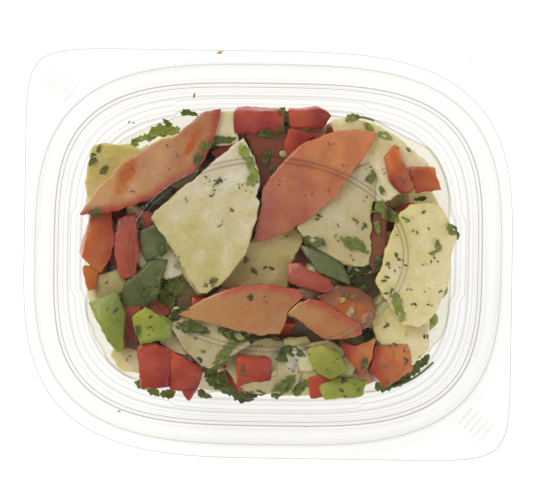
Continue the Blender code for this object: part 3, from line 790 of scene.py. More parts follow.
# %% Tomato pieces on top
SALMON = ("#b0503f", "#cba67a", "#b27a5c", 30)
PINK_EDGED = ("#b9604f", "#bd8e5c", "#b07b54", 20)
BRICK = ("#ad6049", "#aa6658", "#d28e5c", 45)
RED_ORANGE = ("#a23c28", "#d08c58", "#a23c24", 200)
ORANGE_SIDED = ("#a84428", "#cc7838", "#982e22", 10)
CHOPPED_RED = ("#a04434", "#b86250", "#a04a38", 0)
BROWN_RED = ("#7d3f2e", "#96593d", "#7e4530", 90)
SEEDY = ("#84543a", "#a8764e", "#80543a", 60)
GEL = "#b86a24"
TOMATO_CUTS = (
    Cut(40.7, 13, -2, 3, 0, (9, 17), SALMON, (
        (-55.8, 10.1), (-50.7, 18), (-44.1, 25.4), (-36.9, 29.9), (-32, 33.2), (-27.7, 34.1),
        (-25.4, 36.5), (-21.9, 39.5), (-19, 41.8), (-14.1, 42.8), (-15.2, 37.5), (-16.3, 32.3),
        (-18.8, 27.3), (-21.7, 23.7), (-27.5, 20.4), (-34.7, 15.4), (-43.9, 12)),
        ((-41.6, 22.6, 7.0, 2.9, 65, 0.35), (-22.5, 32.5, 6, 1.6, 60, 0.1))),
    Cut(41.1, 15, 2, 2, 70, None, BRICK, (
        (31.8, 35.9), (26.2, 37), (21.8, 36.9), (17.5, 35.7), (10.2, 33), (5.9, 29.4),
        (3.1, 26.2), (0.2, 22.6), (-2.1, 18.8), (-2, 14.4), (-4.7, 2.7), (0.5, 4.3), (6.3, 6.7),
        (13.5, 11.7), (20.1, 17.7), (24.9, 25), (29.2, 30.9))),
    Cut(41.0, 11, 5, 0, 110, (2, 6), PINK_EDGED, (
        (-26.3, -18.3), (-19.6, -13.5), (-12.4, -10.5), (-8, -9), (0.7, -8.6), (9.5, -10.2),
        (10.9, -11.9), (8.4, -14.6), (6.1, -16.6), (5.2, -20.4), (3.8, -23.4), (-2, -23.8),
        (-7.8, -22.7), (-16.6, -20.8))),
    Cut(40.6, 10, 4, -3, 0, (2, 6), PINK_EDGED, (
        (5.2, -17.5), (8.6, -14.3), (12.4, -12.2), (18.3, -14.4), (22.7, -17.2), (27.7, -20.1),
        (27.7, -23), (24.2, -23.9), (21.3, -24.6), (17, -24.6), (12.6, -21.8), (8.1, -18.4))),
    Cut(38.2, 9, -6, 0, 30, (4, 7), CHOPPED_RED, (
        (5.5, -2.1), (9.3, -2), (12.3, -4.3), (16.7, -5.7), (20.2, -9.1), (16.8, -11.2),
        (9.4, -9.6), (5.9, -8.2))),
    Cut(35.0, 12, 5, 0, 0, (0, 1), BROWN_RED, (
        (-8.3, 36.6), (4.3, 37), (8.9, 30.6), (3.1, 22.2), (-3.1, 17.2), (-4, 27.5))),
    Cut(37.2, 12, 4, -6, 40, (5, 6), RED_ORANGE, (
        (21.3, -24.6), (26, -26), (32.1, -23.8), (30.8, -30.2), (27.9, -35.5), (22.3, -28.9),
        (21.3, -24.6))),
    Cut(36.4, 12, -5, 6, 45, (5, 6), RED_ORANGE, (
        (31.6, -25.9), (41.7, -24.8), (43.3, -33), (39, -35.9), (34.7, -38.9), (30.2, -33.2),
        (31.6, -25.9))),
    Cut(37.0, 13, 6, 8, 34, (1, 3), ORANGE_SIDED, (
        (-51.2, 12.7), (-45.8, 12.8), (-44.5, 3.5), (-46, -2.3), (-48.9, -6.7), (-54.8, -1.9),
        (-53.4, 3.4))),
    Cut(36.0, 12, 6, -6, 40, None, CHOPPED_RED, (
        (-44.7, 9.9), (-39, 12), (-37.8, 0.7), (-38.7, -8), (-43.6, -8.1), (-45.5, -0.8))),
    Cut(37.6, 11, 0, 0, 0, (0, 3), SEEDY, (
        (14, -12), (20, -8.5), (26, -9), (31, -12), (32, -18), (28, -22), (20, -19)),
        ((22.6, -14.6, 4.2, 3.0, 60, 0.9), (27.6, -15.6, 3.4, 2.4, 80, 0.7))),
    Cut(36.5, 8, 0, 4, 0, (0, 1), BROWN_RED, (
        (30.9, 18.4), (35.3, 17.5), (34.5, 1.9), (31.3, -5.7), (29, -2))),
)
print(len(TOMATO_CUTS), "tomato pieces on top")

# %% [markdown]
# Sweet pepper is a wall about 5 mm thick, with a glossy, waxy skin outside. The knife left squares
# and strips. The red ones are red all through, so their two tones are both flesh. The grey green
# ones lie skin up.

# %% Pepper pieces on top
DEEP_RED = ("#b04640", "#bd5c48", "#992f30", 270)
BRIGHT_RED = ("#b04630", "#c45c38", "#96302a", 330)
ORANGE_RED = ("#b24a28", "#dc8840", "#8c2226", 250)
ORANGE = ("#c27220", "#c98434", "#b8601f", 0)
RED_CUTS = (
    Cut(37.4, 7, 15, 0, 0, None, DEEP_RED, ((-10.9, 42.0), (4.2, 42.3), (4.4, 35.2), (-10.8, 35.0))),
    Cut(36.6, 6, 16, 8, 0, None, BRIGHT_RED, (
        (4.8, 42.6), (14.5, 42.9), (18.3, 40.7), (15.1, 36.1), (5.8, 36.9))),
    Cut(36.4, 5, 8, 4, 0, None, BRIGHT_RED, ((5.4, 37.6), (13.7, 35.2), (5.9, 27.2), (4, 31))),
    Cut(38.8, 8, 3, 12, 22, None, ORANGE_RED, (
        (33.9, 29.6), (37.3, 33.4), (39.2, 28.2), (43.4, 20.1), (41.7, 18), (38.1, 18.5),
        (35.2, 22.3))),
    Cut(37.6, 7, 8, -4, 60, None, ORANGE_RED, (
        (40.4, 26.2), (48.2, 26.3), (50.4, 19.6), (42.4, 18.0))),
    Cut(36.6, 8, -5, -6, 70, None, BRIGHT_RED, (
        (-38.4, -26.9), (-34, -25.9), (-27.6, -27.8), (-28.6, -39.3), (-36.7, -40))),
    Cut(35.8, 8, 6, 10, 40, None, BRIGHT_RED, (
        (-29.6, -27.3), (-22.3, -31.1), (-17.8, -34.5), (-20.7, -40.4), (-28, -40.5))),
    Cut(33.5, 6, 0, 0, 0, None, BRIGHT_RED, ((-26.7, -37.4), (-18.8, -37.3), (-22.5, -43.8))),
    Cut(36.8, 7, 20, 6, 60, None, BRIGHT_RED, ((-8.6, -30), (1.6, -30.4), (1.8, -40.3), (-8.7, -40.5))),
    Cut(33.6, 5, 0, 3, 0, None, ORANGE, (
        (-54.4, -3.9), (-49.4, -3.8), (-50.3, -10.7), (-52.9, -12.1))),
    Cut(33.2, 5, 0, 0, 0, None, BRIGHT_RED, ((12, -36), (20, -33.5), (22, -41.6), (13, -42))),
    Cut(33.0, 6, 0, 0, 0, None, DEEP_RED, ((-43.5, -13), (-37, -13), (-36, -29), (-43, -28))),
    Cut(34.0, 5, 12, 0, 0, None, DEEP_RED, ((-38, 13), (-33, 12), (-31, 6), (-37, 4))),
)
LEAF_GREEN = ("#879248", "#9ea54c", "#788436", 0)
FRESH_GREEN = ("#8f9d48", "#abb04f", "#8f9a3e", 0)
GREY_GREEN = ("#6f7850", "#8c9466", "#727a4c", 0)
LIME = ("#a6a654", "#b6b558", "#8f9442", 300)
GREEN_CUTS = (
    Cut(38.0, 8, -4, -8, 34, None, LEAF_GREEN, (
        (-52.8, -14.6), (-48, -12.5), (-44.4, -10.6), (-41.4, -17.4), (-41.9, -29.1),
        (-43.9, -29.8), (-46.6, -26.1), (-49.6, -20.5))),
    Cut(37.8, 10, 5, 5, 30, (2, 4), FRESH_GREEN, (
        (-39.9, -19.1), (-35.6, -15.8), (-27.7, -20.1), (-27.2, -25.3), (-36.9, -27.4))),
    Cut(35.0, 7, 12, 8, 26, "top", GREY_GREEN, (
        (-43.3, -16.8), (-41.7, -9), (-34.4, -2.6), (-28.5, -2), (-32.2, -13.8), (-36.1, -17.3))),
    Cut(35.2, 5, 8, -10, 40, "top", GREY_GREEN, ((-38.5, 6.1), (-32.1, 9.2), (-27.5, 1.9), (-36.3, -3.6))),
    Cut(37.2, 6, -10, 5, 24, "top", GREY_GREEN, (
        (8.9, 3.5), (15.1, 3), (22, -1.7), (25, -8.6), (14.6, -5.3))),
    Cut(36.6, 6, -6, 4, 60, None, LIME, (
        (11.2, -27.2), (15.5, -25.7), (21.4, -27.9), (24.4, -33.8), (18.6, -36.2), (14.2, -33.8))),
    Cut(33.8, 6, -6, 0, 50, None, FRESH_GREEN, (
        (14.8, -38.2), (21.5, -34.8), (29.7, -36.1), (28.4, -41.3), (17.2, -42.3))),
    Cut(33.0, 5, 0, -8, 0, "top", GREY_GREEN, ((3, -29), (10, -27.5), (11, -33), (4, -34))),
)
print(len(RED_CUTS), "red and", len(GREEN_CUTS), "green pieces on top")

# %% [markdown]
# ## The pieces below
#
# Under the top layer the heap is a jumble. The lower pieces show through the clear wall and in
# the gaps, so they are drawn at random, with a fixed seed: three rings against the wall, and one
# loose layer under the top. Each is a rough slab turned any way.


# %% Random pieces
HEAP = Outline(54.0, 41.5, 2.1, 2.6)
LOOSE_TOP = 33.5
LOOSE_VOXEL = 1.25
LOOSE_PAINT = {
    "potato": (PALE_POTATO, YELLOW_POTATO, YELLOW_POTATO, OLIVE_SHADE_POTATO),
    "tomato": (SALMON, BRICK, RED_ORANGE, PINK_EDGED),
    "red_pepper": (DEEP_RED, BRIGHT_RED, ORANGE_RED),
    "green_pepper": (LEAF_GREEN, FRESH_GREEN, GREY_GREEN),
}
LOOSE_SIZE = {  # least and most across, and thickness
    "potato": (12, 21, 10), "tomato": (13, 20, 7), "red_pepper": (9, 14, 5), "green_pepper": (9, 14, 5),
}


def heap_reach(angle, outline=HEAP):
    """How far an outline is from the middle in one direction. The heap's front is squarer."""
    x, y = abs(math.cos(angle)) / outline.half_x, abs(math.sin(angle)) / outline.half_y
    power = outline.power if math.sin(angle) > 0 else outline.tab_power
    return (x**power + y**power) ** (-1 / power)


def add_loose(kinds, name, centre, seed, flat=0.0):
    """One random piece about a point. With flat at 1 it lies level, and at 0 it may lie any way."""
    rng = random.Random(seed)
    least, most, thick = LOOSE_SIZE[name]
    size = rng.uniform(least, most)
    thick *= rng.uniform(0.6, 1.15)
    count = rng.choice((3, 4, 5, 6, 7))
    corners = []
    for k in range(count):
        angle = TAU * (k + rng.uniform(-0.2, 0.2)) / count
        arm = size / 2 * rng.uniform(0.75, 1.2)
        corners.append(Vector((arm * math.cos(angle), arm * math.sin(angle))))
    rough = slab(ragged(corners, rng), thick, rng.uniform(0.6, 1.0))
    points, faces, normals = softened(rough, LOOSE_VOXEL)
    depth = -points[:, 2] if name != "potato" else np.full(len(points), ALL_FLESH)
    paint = rng.choice(LOOSE_PAINT[name])
    flesh = blend(points, paint, size, seed)
    points = uneven(points, normals, seed, ((5, 0.6), (1.7, 0.15)))
    points[:, 2] += thick / 2
    tilts = [rng.uniform(-1, 1) * math.pi * (1 - flat) + rng.uniform(-0.3, 0.3) for axis in "XY"]
    turn = Matrix.Rotation(tilts[0], 3, "X") @ Matrix.Rotation(tilts[1], 3, "Y")
    turn = np.array(turn @ Matrix.Rotation(rng.uniform(0, TAU), 3, "Z"))
    points = points @ turn.T + centre
    x, y, z = points.T
    reach = np.array([heap_reach(angle) for angle in np.arctan2(y, x)])
    points[:, :2] /= np.maximum(np.hypot(x, y) / reach, 1)[:, None]
    points = inside_tub(points, LOOSE_TOP + rng.uniform(-1.5, 0.5))
    kinds[name].add(points, faces, depth, paint[0], flesh)


# %% Gather all pieces
MIX = ("potato",) * 8 + ("tomato",) * 4 + ("red_pepper",) * 3 + ("green_pepper",) * 4
CUTS = {
    "potato": POTATO_CUTS, "tomato": TOMATO_CUTS, "red_pepper": RED_CUTS, "green_pepper": GREEN_CUTS,
}
POTATO_LUMPS = ((7, 0.5), (1.6, 0.3))
OTHER_LUMPS = ((7, 0.4), (1.5, 0.13))
kinds = {name: Kind(name + "_pieces") for name in CUTS}
for name, cuts in CUTS.items():
    for number, cut in enumerate(cuts):
        add_cut(kinds[name], cut, 10 * number + 3, POTATO_LUMPS if name == "potato" else OTHER_LUMPS)

rng = random.Random(42)
RINGS = ((7.5, 22), (16.0, 23), (25.0, 22))  # height and number of pieces
for ring, (height, count) in enumerate(RINGS):
    for number in range(count):
        angle = TAU * (number + 0.5 * (ring % 2) + rng.uniform(-0.15, 0.15)) / count
        far = heap_reach(angle) - rng.uniform(4, 7)
        centre = (far * math.cos(angle), far * math.sin(angle), height + rng.uniform(-1.5, 1.5))
        add_loose(kinds, rng.choice(MIX), centre, 100 * ring + number)
UNDER_TOP = ((41, 31, 20), (30, 21, 14), (18, 12, 9), (6, 5, 3))  # half sizes and number of pieces
for ring, (far_x, far_y, count) in enumerate(UNDER_TOP):
    for number in range(count):
        angle = TAU * (number + rng.uniform(-0.2, 0.2)) / count
        centre = (far_x * math.cos(angle), far_y * math.sin(angle), 28 + rng.uniform(-1, 1.5))
        add_loose(kinds, rng.choice(MIX), centre, 1000 + 100 * ring + number, flat=0.85)
print(sum(len(kind.points) for kind in kinds.values()), "pieces in all")

# %% [markdown]
# ## What the food looks like
#
# All the pieces are moist and coated with the dressing, so each material has a clear coat. Light
# goes a few millimetres into cut vegetable before it comes out, which subsurface scattering gives.
# The skin's colour and gloss turn to the flesh's within one to three millimetres of depth.


# %% Materials for moist cut vegetable
def moist_vegetable(name, mottle, skin_patch, speckle_mm, depths, rough, coat, radius, bump_mm):
    """Cut vegetable: mottled flesh under a skin that ends between two depths in millimetres."""
    made, tree, place = new_material(name)
    skin, flesh, depth = [
        node(tree, "Attribute", attribute_name=label).outputs[out]
        for label, out in (("skin", "Color"), ("flesh", "Color"), ("depth", "Fac"))
    ]
    patches = node(tree, "TexNoise", {
        "Vector": place, "Scale": 120.0, "Detail": 6.0, "Roughness": 0.6, "Distortion": 1.2,
    })
    grain = node(tree, "TexNoise", {
        "Vector": place, "Scale": 1 / (speckle_mm * MM), "Detail": 5.0, "Roughness": 0.6,
    })
    wet_spots = node(tree, "TexNoise", {"Vector": place, "Scale": 210.0, "Detail": 3.0})
    patch_share = node(tree, "MapRange", {
        "Value": patches, "From Min": 0.36, "From Max": 0.66, "To Max": 0.85,
    })
    grain_share = node(tree, "MapRange", {
        "Value": grain, "From Min": 0.35, "From Max": 0.7, "To Max": 0.3,
    })
    below_skin = node(tree, "MapRange", {
        "Value": depth, "From Min": depths[0], "From Max": depths[1],
    }, interpolation_type="SMOOTHSTEP")
    wetness = node(tree, "MapRange", {
        "Value": wet_spots, "From Min": 0.4, "From Max": 0.6, "To Min": 0.55, "To Max": 1.25,
    })
    colour = flesh
    for share, tint in ((patch_share, mottle), (grain_share, "#d2c09c")):
        colour = node(tree, "Mix", {
            "Factor": share, "A": colour, "B": linear(tint),
        }, data_type="RGBA", blend_type="MULTIPLY")
    uneven_skin = node(tree, "Mix", {
        "Factor": patch_share, "A": skin, "B": linear(skin_patch),
    }, data_type="RGBA", blend_type="MULTIPLY")
    colour = node(tree, "Mix", {
        "Factor": below_skin, "A": uneven_skin, "B": colour,
    }, data_type="RGBA")
    roughness = node(tree, "MapRange", {"Value": below_skin, "To Min": rough[0], "To Max": rough[1]})
    body = node(tree, "BsdfPrincipled", {
        "Base Color": colour,
        "Roughness": node(tree, "Math.MULTIPLY", (roughness, wetness)),
        "Subsurface Weight": 0.5,
        "Subsurface Radius": radius,
        "Subsurface Scale": 3.0 * MM,
        "IOR": 1.45,
        "Specular IOR Level": 0.4,
        "Coat Weight": coat,
        "Coat Roughness": 0.1,
        "Normal": node(tree, "Bump", {"Height": grain, "Strength": 0.6, "Distance": bump_mm * MM}),
    })
    node(tree, "OutputMaterial", {"Surface": body})
    return made


# %% Potato, tomato and pepper
VEGETABLES = {
    "potato": (
        "boiled_potato_cut", "#f8f0d2", "#f8f0d2", 0.9, (0.4, 1.2), (0.4, 0.5), 0.08,
        (1.0, 0.8, 0.35), 0.2),
    "tomato": (
        "tomato_flesh_and_skin", "#f8d8b8", "#e0a080", 1.1, (0.3, 3.4), (0.25, 0.32), 0.2,
        (1.0, 0.35, 0.2), 0.12),
    "red_pepper": (
        "red_pepper_skin_and_flesh", "#eeb0a0", "#c87a62", 0.8, (0.5, 1.8), (0.3, 0.38), 0.12,
        (1.0, 0.25, 0.15), 0.08),
    "green_pepper": (
        "green_pepper_skin_and_flesh", "#dfe6a8", "#b4bc80", 0.8, (0.5, 1.8), (0.35, 0.4), 0.08,
        (0.8, 1.0, 0.2), 0.08),
}
food = [kinds[name].build(moist_vegetable(*looks)) for name, looks in VEGETABLES.items()]

# %% [markdown]
# ## Parsley and herb flakes
#
# Chopped parsley and dried herb flakes lie on the pieces and in the gaps, stuck by the dressing.
# A wet leaf drapes: it follows what is under it. So a geometry tree drops every point onto the
# food with a ray from above, sets a leaf or a flake there, and then drops each vertex too, within
# a limit, so that a leaf bends over an edge but doesn't fall down a gap. The same tree lays both
# kinds. The tables give the places of the leaves and flakes that show best.

# %% Shapes of a leaflet and of a flake
HALF_LEAFLET = (
    (0.0, 0.03), (0.1, 0.08), (0.18, 0.2), (0.34, 0.17), (0.46, 0.26), (0.6, 0.17), (0.74, 0.18),
    (0.88, 0.08), (1.0, 0.0),
)


def leaflet_mesh():
    """A parsley leaflet one metre long: toothed edge, a crease along the vein, and a slow wave."""
    bm = bmesh.new()
    vein = [bm.verts.new((x, 0, 0)) for x, y in HALF_LEAFLET]
    for side in (1, -1):
        edge = [bm.verts.new((x, side * y, 0)) for x, y in HALF_LEAFLET[:-1]] + [vein[-1]]
        for k in range(len(edge) - 1):
            corners = [vein[k], vein[k + 1], edge[k + 1], edge[k]]
            corners = corners[:1] + corners[2:] if corners[1] is corners[2] else corners
            bm.faces.new(corners if side < 0 else corners[::-1])
    bmesh.ops.recalc_face_normals(bm, faces=bm.faces)
    bmesh.ops.subdivide_edges(bm, edges=bm.edges, cuts=1, use_grid_fill=True)
    for vert in bm.verts:
        x, y, z = vert.co
        vert.co = (x - 0.4, y, 0.3 * abs(y) + 0.05 * math.sin(9 * x + 5 * y))
    if sum(face.normal.z for face in bm.faces) < 0:
        bmesh.ops.reverse_faces(bm, faces=bm.faces)
    bmesh.ops.triangulate(bm, faces=bm.faces)
    return mesh_from("parsley_leaflet", bm)


def flake_mesh():
    """A herb flake one metre long: a thin crumpled chip."""
    bm = bmesh.new()
    bmesh.ops.create_icosphere(bm, subdivisions=2, radius=0.5)
    for vert in bm.verts:
        bump = 1 + 0.8 * noise.noise(vert.co * 4 + Vector((4, 0, 0)))
        vert.co = (vert.co.x * bump, vert.co.y * 0.5 * bump, vert.co.z * 0.25)
    return mesh_from("herb_flake", bm)


# %% A tree that lays pieces on the food
DROP_FROM = 60 * MM
BARE_FLOOR = 2.2 * MM


def drop(tree, target):
    """Where each point is, and how high the food under it is, or the floor if there is no food."""
    here = node(tree, "SeparateXYZ", (node(tree, "InputPosition"),)).outputs
    ray = node(tree, "Raycast", {
        "Target Geometry": target,
        "Source Position": node(tree, "CombineXYZ", (here[0], here[1], DROP_FROM)),
        "Ray Direction": (0, 0, -1),
        "Ray Length": DROP_FROM,
    }).outputs
    height = node(tree, "Switch", {
        "Switch": ray["Is Hit"],
        "False": BARE_FLOOR,
        "True": node(tree, "SeparateXYZ", (ray["Hit Position"],)).outputs[2],
    }, input_type="FLOAT")
    return here, height


# %% Inputs, named values and chances
laid_tree, given = new_tree("laid_on_food", {
    "Food": "Collection", "Piece": "Object", "Copies": "Int", "Spread": "Float", "Loose Turn": "Float",
    "Drape": "Float", "Crumple": "Float", "Lowest": "Float", "Ceiling": "Float", "Seed": "Int",
})
tree = laid_tree
food_in = node(tree, "CollectionInfo", {"Collection": given["Food"]})
food_real = node(tree, "RealizeInstances", {"Geometry": food_in})
piece_in = node(tree, "ObjectInfo", {"Object": given["Piece"], "As Instance": True})
turn, size, base = [
    node(tree, "InputNamedAttribute", {"Name": label}) for label in ("turn", "size", "base")
]
other_way = node(tree, "Math.MULTIPLY", (given["Loose Turn"], -1.0))
scatter, loose_turn, lean, growth = [
    node(tree, "RandomValue", {
        "Min": low, "Max": high, "Seed": node(tree, "IntegerMath.ADD", (given["Seed"], number)),
    }, data_type=kind)
    for number, kind, low, high in (
        (1, "FLOAT_VECTOR", (-1, -1, 0), (1, 1, 0)),
        (2, "FLOAT", other_way, given["Loose Turn"]),
        (3, "FLOAT_VECTOR", (-0.3, -0.3, 0), (0.3, 0.3, 0)),
        (4, "FLOAT", 0.75, 1.25),
    )
]
print(len(tree.nodes), "nodes so far")

# %% Set the pieces down and drape them
FILM = 0.12 * MM
spots = node(tree, "MeshToPoints", {"Mesh": given["Geometry"]})
spots = node(tree, "DuplicateElements", {"Geometry": spots, "Amount": given["Copies"]})
shift = node(tree, "VectorMath.SCALE", {0: scatter, "Scale": given["Spread"]})
spots = node(tree, "SetPosition", {"Geometry": spots, "Offset": shift})
here, food_height = drop(tree, food_real)
food_height = node(tree, "Math.MAXIMUM", (food_height, given["Lowest"]))
on_food = node(tree, "CombineXYZ", (here[0], here[1], food_height))
spots = node(tree, "SetPosition", {"Geometry": spots, "Position": on_food})
spots = node(tree, "StoreNamedAttribute", {"Geometry": spots, "Name": "base", "Value": food_height})
heading = node(tree, "CombineXYZ", {2: node(tree, "Math.ADD", (turn, loose_turn))})
pieces = node(tree, "InstanceOnPoints", {
    "Points": spots,
    "Instance": piece_in.outputs["Geometry"],
    "Rotation": node(tree, "VectorMath.ADD", (lean, heading)),
    "Scale": node(tree, "Math.MULTIPLY", (size, growth)),
})
pieces = node(tree, "RealizeInstances", {"Geometry": pieces})
here, under_vertex = drop(tree, food_real)
low = node(tree, "Math.SUBTRACT", (base, given["Drape"]))
high = node(tree, "Math.ADD", (base, given["Drape"]))
bed = node(tree, "Math.MINIMUM", (node(tree, "Math.MAXIMUM", (under_vertex, low)), high))
own = node(tree, "Math.SUBTRACT", (here[2], base))
lifted = node(tree, "Math.ADD", (node(tree, "Math.ADD", (bed, own)), FILM))
under_lid = node(tree, "Math.MINIMUM", (lifted, given["Ceiling"]))
draped = node(tree, "CombineXYZ", (here[0], here[1], under_lid))
pieces = node(tree, "SetPosition", {"Geometry": pieces, "Position": draped})
ripple = node(tree, "TexNoise", {"Scale": 330.0, "Detail": 1.0}).outputs["Color"]
ripple = node(tree, "VectorMath.SUBTRACT", (ripple, (0.5, 0.5, 0.36)))
ripple = node(tree, "VectorMath.SCALE", {0: ripple, "Scale": given["Crumple"]})
end_tree(tree, given, node(tree, "SetPosition", {"Geometry": pieces, "Offset": ripple}))
print(len(tree.nodes), "nodes lay pieces on the food")

# %% [markdown]
# Each row of the table is a leaflet: its place and length in millimetres, the way it points in
# degrees, and how light it is, from 0 for a dark green to 1 for a yellow green. That lightness is
# partly the leaf's own colour and partly painted light and shade: leaves in shaded gaps get low
# values, and leaves in the light get high ones.

# %% Places of the leaflets
LEAFLETS = (
    (-7.6, 30.2, 7, 285, 0.9), (-5.6, 26.6, 8, 280, 0.8), (-4.6, 22.8, 6, 260, 0.7),
    (-51.9, 26.8, 5, 80, 0.1), (-48.9, 23.9, 5, 30, 0.15), (-50.3, 30.2, 4, 60, 0.2),
    (-36.6, 33.6, 9, 20, 1.0), (-32.7, 35.6, 8, 10, 0.9), (-28.6, 36.0, 7, 200, 0.95),
    (-39.5, 32.0, 6, 40, 0.9), (-24.6, 41.4, 6, 350, 0.3),
    (-30.5, 38.5, 4, 340, 0.4), (30.4, 14.1, 5, 300, 0.5), (34.0, 13.2, 9, 330, 0.55),
    (31.6, 9.1, 7, 280, 0.5), (36.9, 12.4, 5, 350, 0.5), (24.2, 3.8, 8, 335, 0.35),
    (27.0, 2.3, 5, 330, 0.4), (-22.5, -21.6, 8, 350, 0.1), (-19.4, -22.2, 6, 0, 0.1),
    (-9.3, -23.9, 8, 350, 0.2), (-5.4, -24.5, 7, 10, 0.15), (-12.6, -22.8, 6, 340, 0.25),
    (-30.2, -12.4, 7, 300, 0.3), (-27.9, -14.4, 6, 250, 0.2), (-29.1, -9.6, 7, 240, 0.35),
    (-33.0, -11.2, 6, 200, 0.3), (-31.8, -7.0, 6, 100, 0.2), (-27.0, -18.0, 6, 20, 0.05),
    (-14.9, -38.0, 9, 330, 0.15), (-11.1, -40.3, 8, 350, 0.1), (-7.5, -42.0, 8, 0, 0.1),
    (-3.2, -41.1, 7, 10, 0.1), (-16.4, -34.6, 9, 310, 0.3), (-12.9, -36.8, 7, 280, 0.2),
    (-13.5, -31.5, 8, 60, 0.4), (-11.5, -28.0, 7, 50, 0.45), (-18.6, -41.2, 6, 340, 0.2),
    (4.8, -29.6, 7, 20, 0.1), (7.6, -28.2, 8, 350, 0.1), (3.5, -40.1, 7, 40, 0.3),
    (6.0, -38.6, 8, 50, 0.35), (9.9, -39.4, 7, 60, 0.25), (37.6, -37.0, 8, 15, 0.2),
    (41.0, -35.2, 8, 25, 0.25), (43.6, -33.0, 7, 40, 0.3), (46.2, -30.6, 6, 45, 0.4),
    (34.0, -38.2, 6, 5, 0.2),
    (53.4, 8.2, 6, 300, 0.45), (49.6, 3.0, 5, 100, 0.6), (48.0, 1.2, 4, 20, 0.6),
    (37.9, -13.2, 5, 110, 0.75), (38.6, -16.0, 6, 280, 0.8), (36.6, -10.9, 4, 120, 0.6),
    (33.3, 35.6, 5, 340, 0.8), (23.6, 40.6, 6, 10, 0.6), (28.4, 38.0, 4, 330, 0.7),
    (3.7, 41.4, 5, 300, 0.2), (5.0, 38.6, 5, 280, 0.15), (2.9, 36.2, 6, 220, 0.15),
    (-1.0, 35.4, 5, 190, 0.1), (-37.2, -38.8, 6, 330, 0.5), (-33.4, -40.6, 6, 340, 0.55),
    (-29.0, -41.4, 5, 0, 0.5), (28.2, -22.9, 5, 340, 0.1), (30.6, -24.4, 6, 330, 0.1),
    (-19.2, 31.4, 6, 10, 0.3), (-15.7, 32.6, 6, 20, 0.25), (-12.2, 33.3, 5, 20, 0.2),
    (-20.5, 28.0, 5, 230, 0.1), (-36.0, 14.0, 6, 240, 0.3), (-38.0, 8.0, 6, 250, 0.2),
    (-31.0, 1.0, 6, 260, 0.1), (28.0, -4.0, 8, 180, 0.05), (32.0, -1.5, 6, 260, 0.1),
    (13.0, 4.0, 7, 350, 0.1), (24.0, -6.0, 7, 200, 0.1), (-50.0, 11.6, 5, 200, 0.1),
    (30.2, 23.6, 6, 260, 0.3), (32.8, 19.4, 6, 280, 0.3), (44.0, 17.2, 5, 10, 0.1),
    (-0.6, 28.6, 6, 240, 0.2), (1.0, 24.4, 7, 270, 0.1), (-16.0, -8.0, 5, 20, 0.1),
    (-37.6, -22.6, 6, 260, 0.1), (-39.4, -26.6, 5, 340, 0.1), (28.6, -31.0, 5, 250, 0.1),
)
print(len(LEAFLETS), "leaflets")

# %% Places of the dark herb flakes
FLAKES = (
    (-18.3, 20.6), (-15, 22.2), (-13.2, 21.1), (-14.6, 21.3), (-16.9, 17.5), (-16.1, 16.5),
    (-7.7, 20), (-6.1, 17.9), (-32.4, 13.5), (-34.1, 8.4), (-11.5, 12.5), (-10.1, 12.6),
    (-13.3, 9.5), (-38.8, 33.4), (-41.4, 38.4), (37.6, 32.4), (40.1, 32.3), (33.1, 24.7),
    (28.8, 22.7), (0.6, 29.5), (38.4, 22.9), (14.5, 10.8), (20, 9), (20.9, 5), (20.3, 6.5),
    (26, 10.4), (27.7, 8.1), (5.2, 4.9), (44.9, 13.8), (41.1, 10.2), (42.5, 7.2), (46.7, 7.7),
    (37.2, 6.5), (24.2, -0.3), (28.8, 1.5), (37.5, -0.3), (-25.7, -8.4), (-17.5, -9.3),
    (-16.5, -8.9), (-47.4, -16.6), (-44.4, -16.8), (-43.3, -19.9), (-41.8, -24.2),
    (-34.7, -19.2), (-34, -21.3), (-33.6, -23.3), (-21.7, -23.3), (-20.2, -24.6),
    (-18.7, -28.3), (-19.2, -30.7), (-19.8, -31.7), (-40.3, -31), (-26.4, -21), (-5.4, -12.7),
    (-3.6, -5.4), (0.1, -3.8), (-5.7, -2.1), (-7.1, -34), (-20.1, -36), (-30.4, -38.5),
    (34.8, -1.5), (39.4, -1.9), (45.3, -1.9), (48.1, -1.1), (37.5, -3.7), (34.9, -6.5),
    (41, -10.1), (46.2, -9.2), (50.3, -10.7), (35.5, -11.3), (42.3, -13.9), (47.9, -14.6),
    (48.2, -18.2), (35.4, -20.3), (46.3, -23.5), (45, -28.9), (36.9, -25.3), (41, -23),
    (22.2, -12.2), (24.1, -11.7), (8.7, -30), (11.1, -28.1), (35, -32.3), (40.9, -30.2),
    (26.9, -38.6), (22.9, -40.5), (22.8, -37.2),
)
print(len(FLAKES), "places of flakes")

# %% [markdown]
# A leaf is thin enough for light to shine through it. Mixing a little Translucent into a plain
# glossy green shows that at the edge of the heap, where the white table is behind it.

# %% Places and material for the herbs
def place_mesh(name, rows):
    """Points at x and y in millimetres, each with a size, a turn and a shade."""
    mesh = new_mesh(name, [(x * MM, y * MM, 0) for x, y, size, turn, shade in rows])
    for column, label, unit in ((2, "size", MM), (3, "turn", math.radians(1)), (4, "shade", 1)):
        store(mesh, label, [row[column] * unit for row in rows])
    return mesh


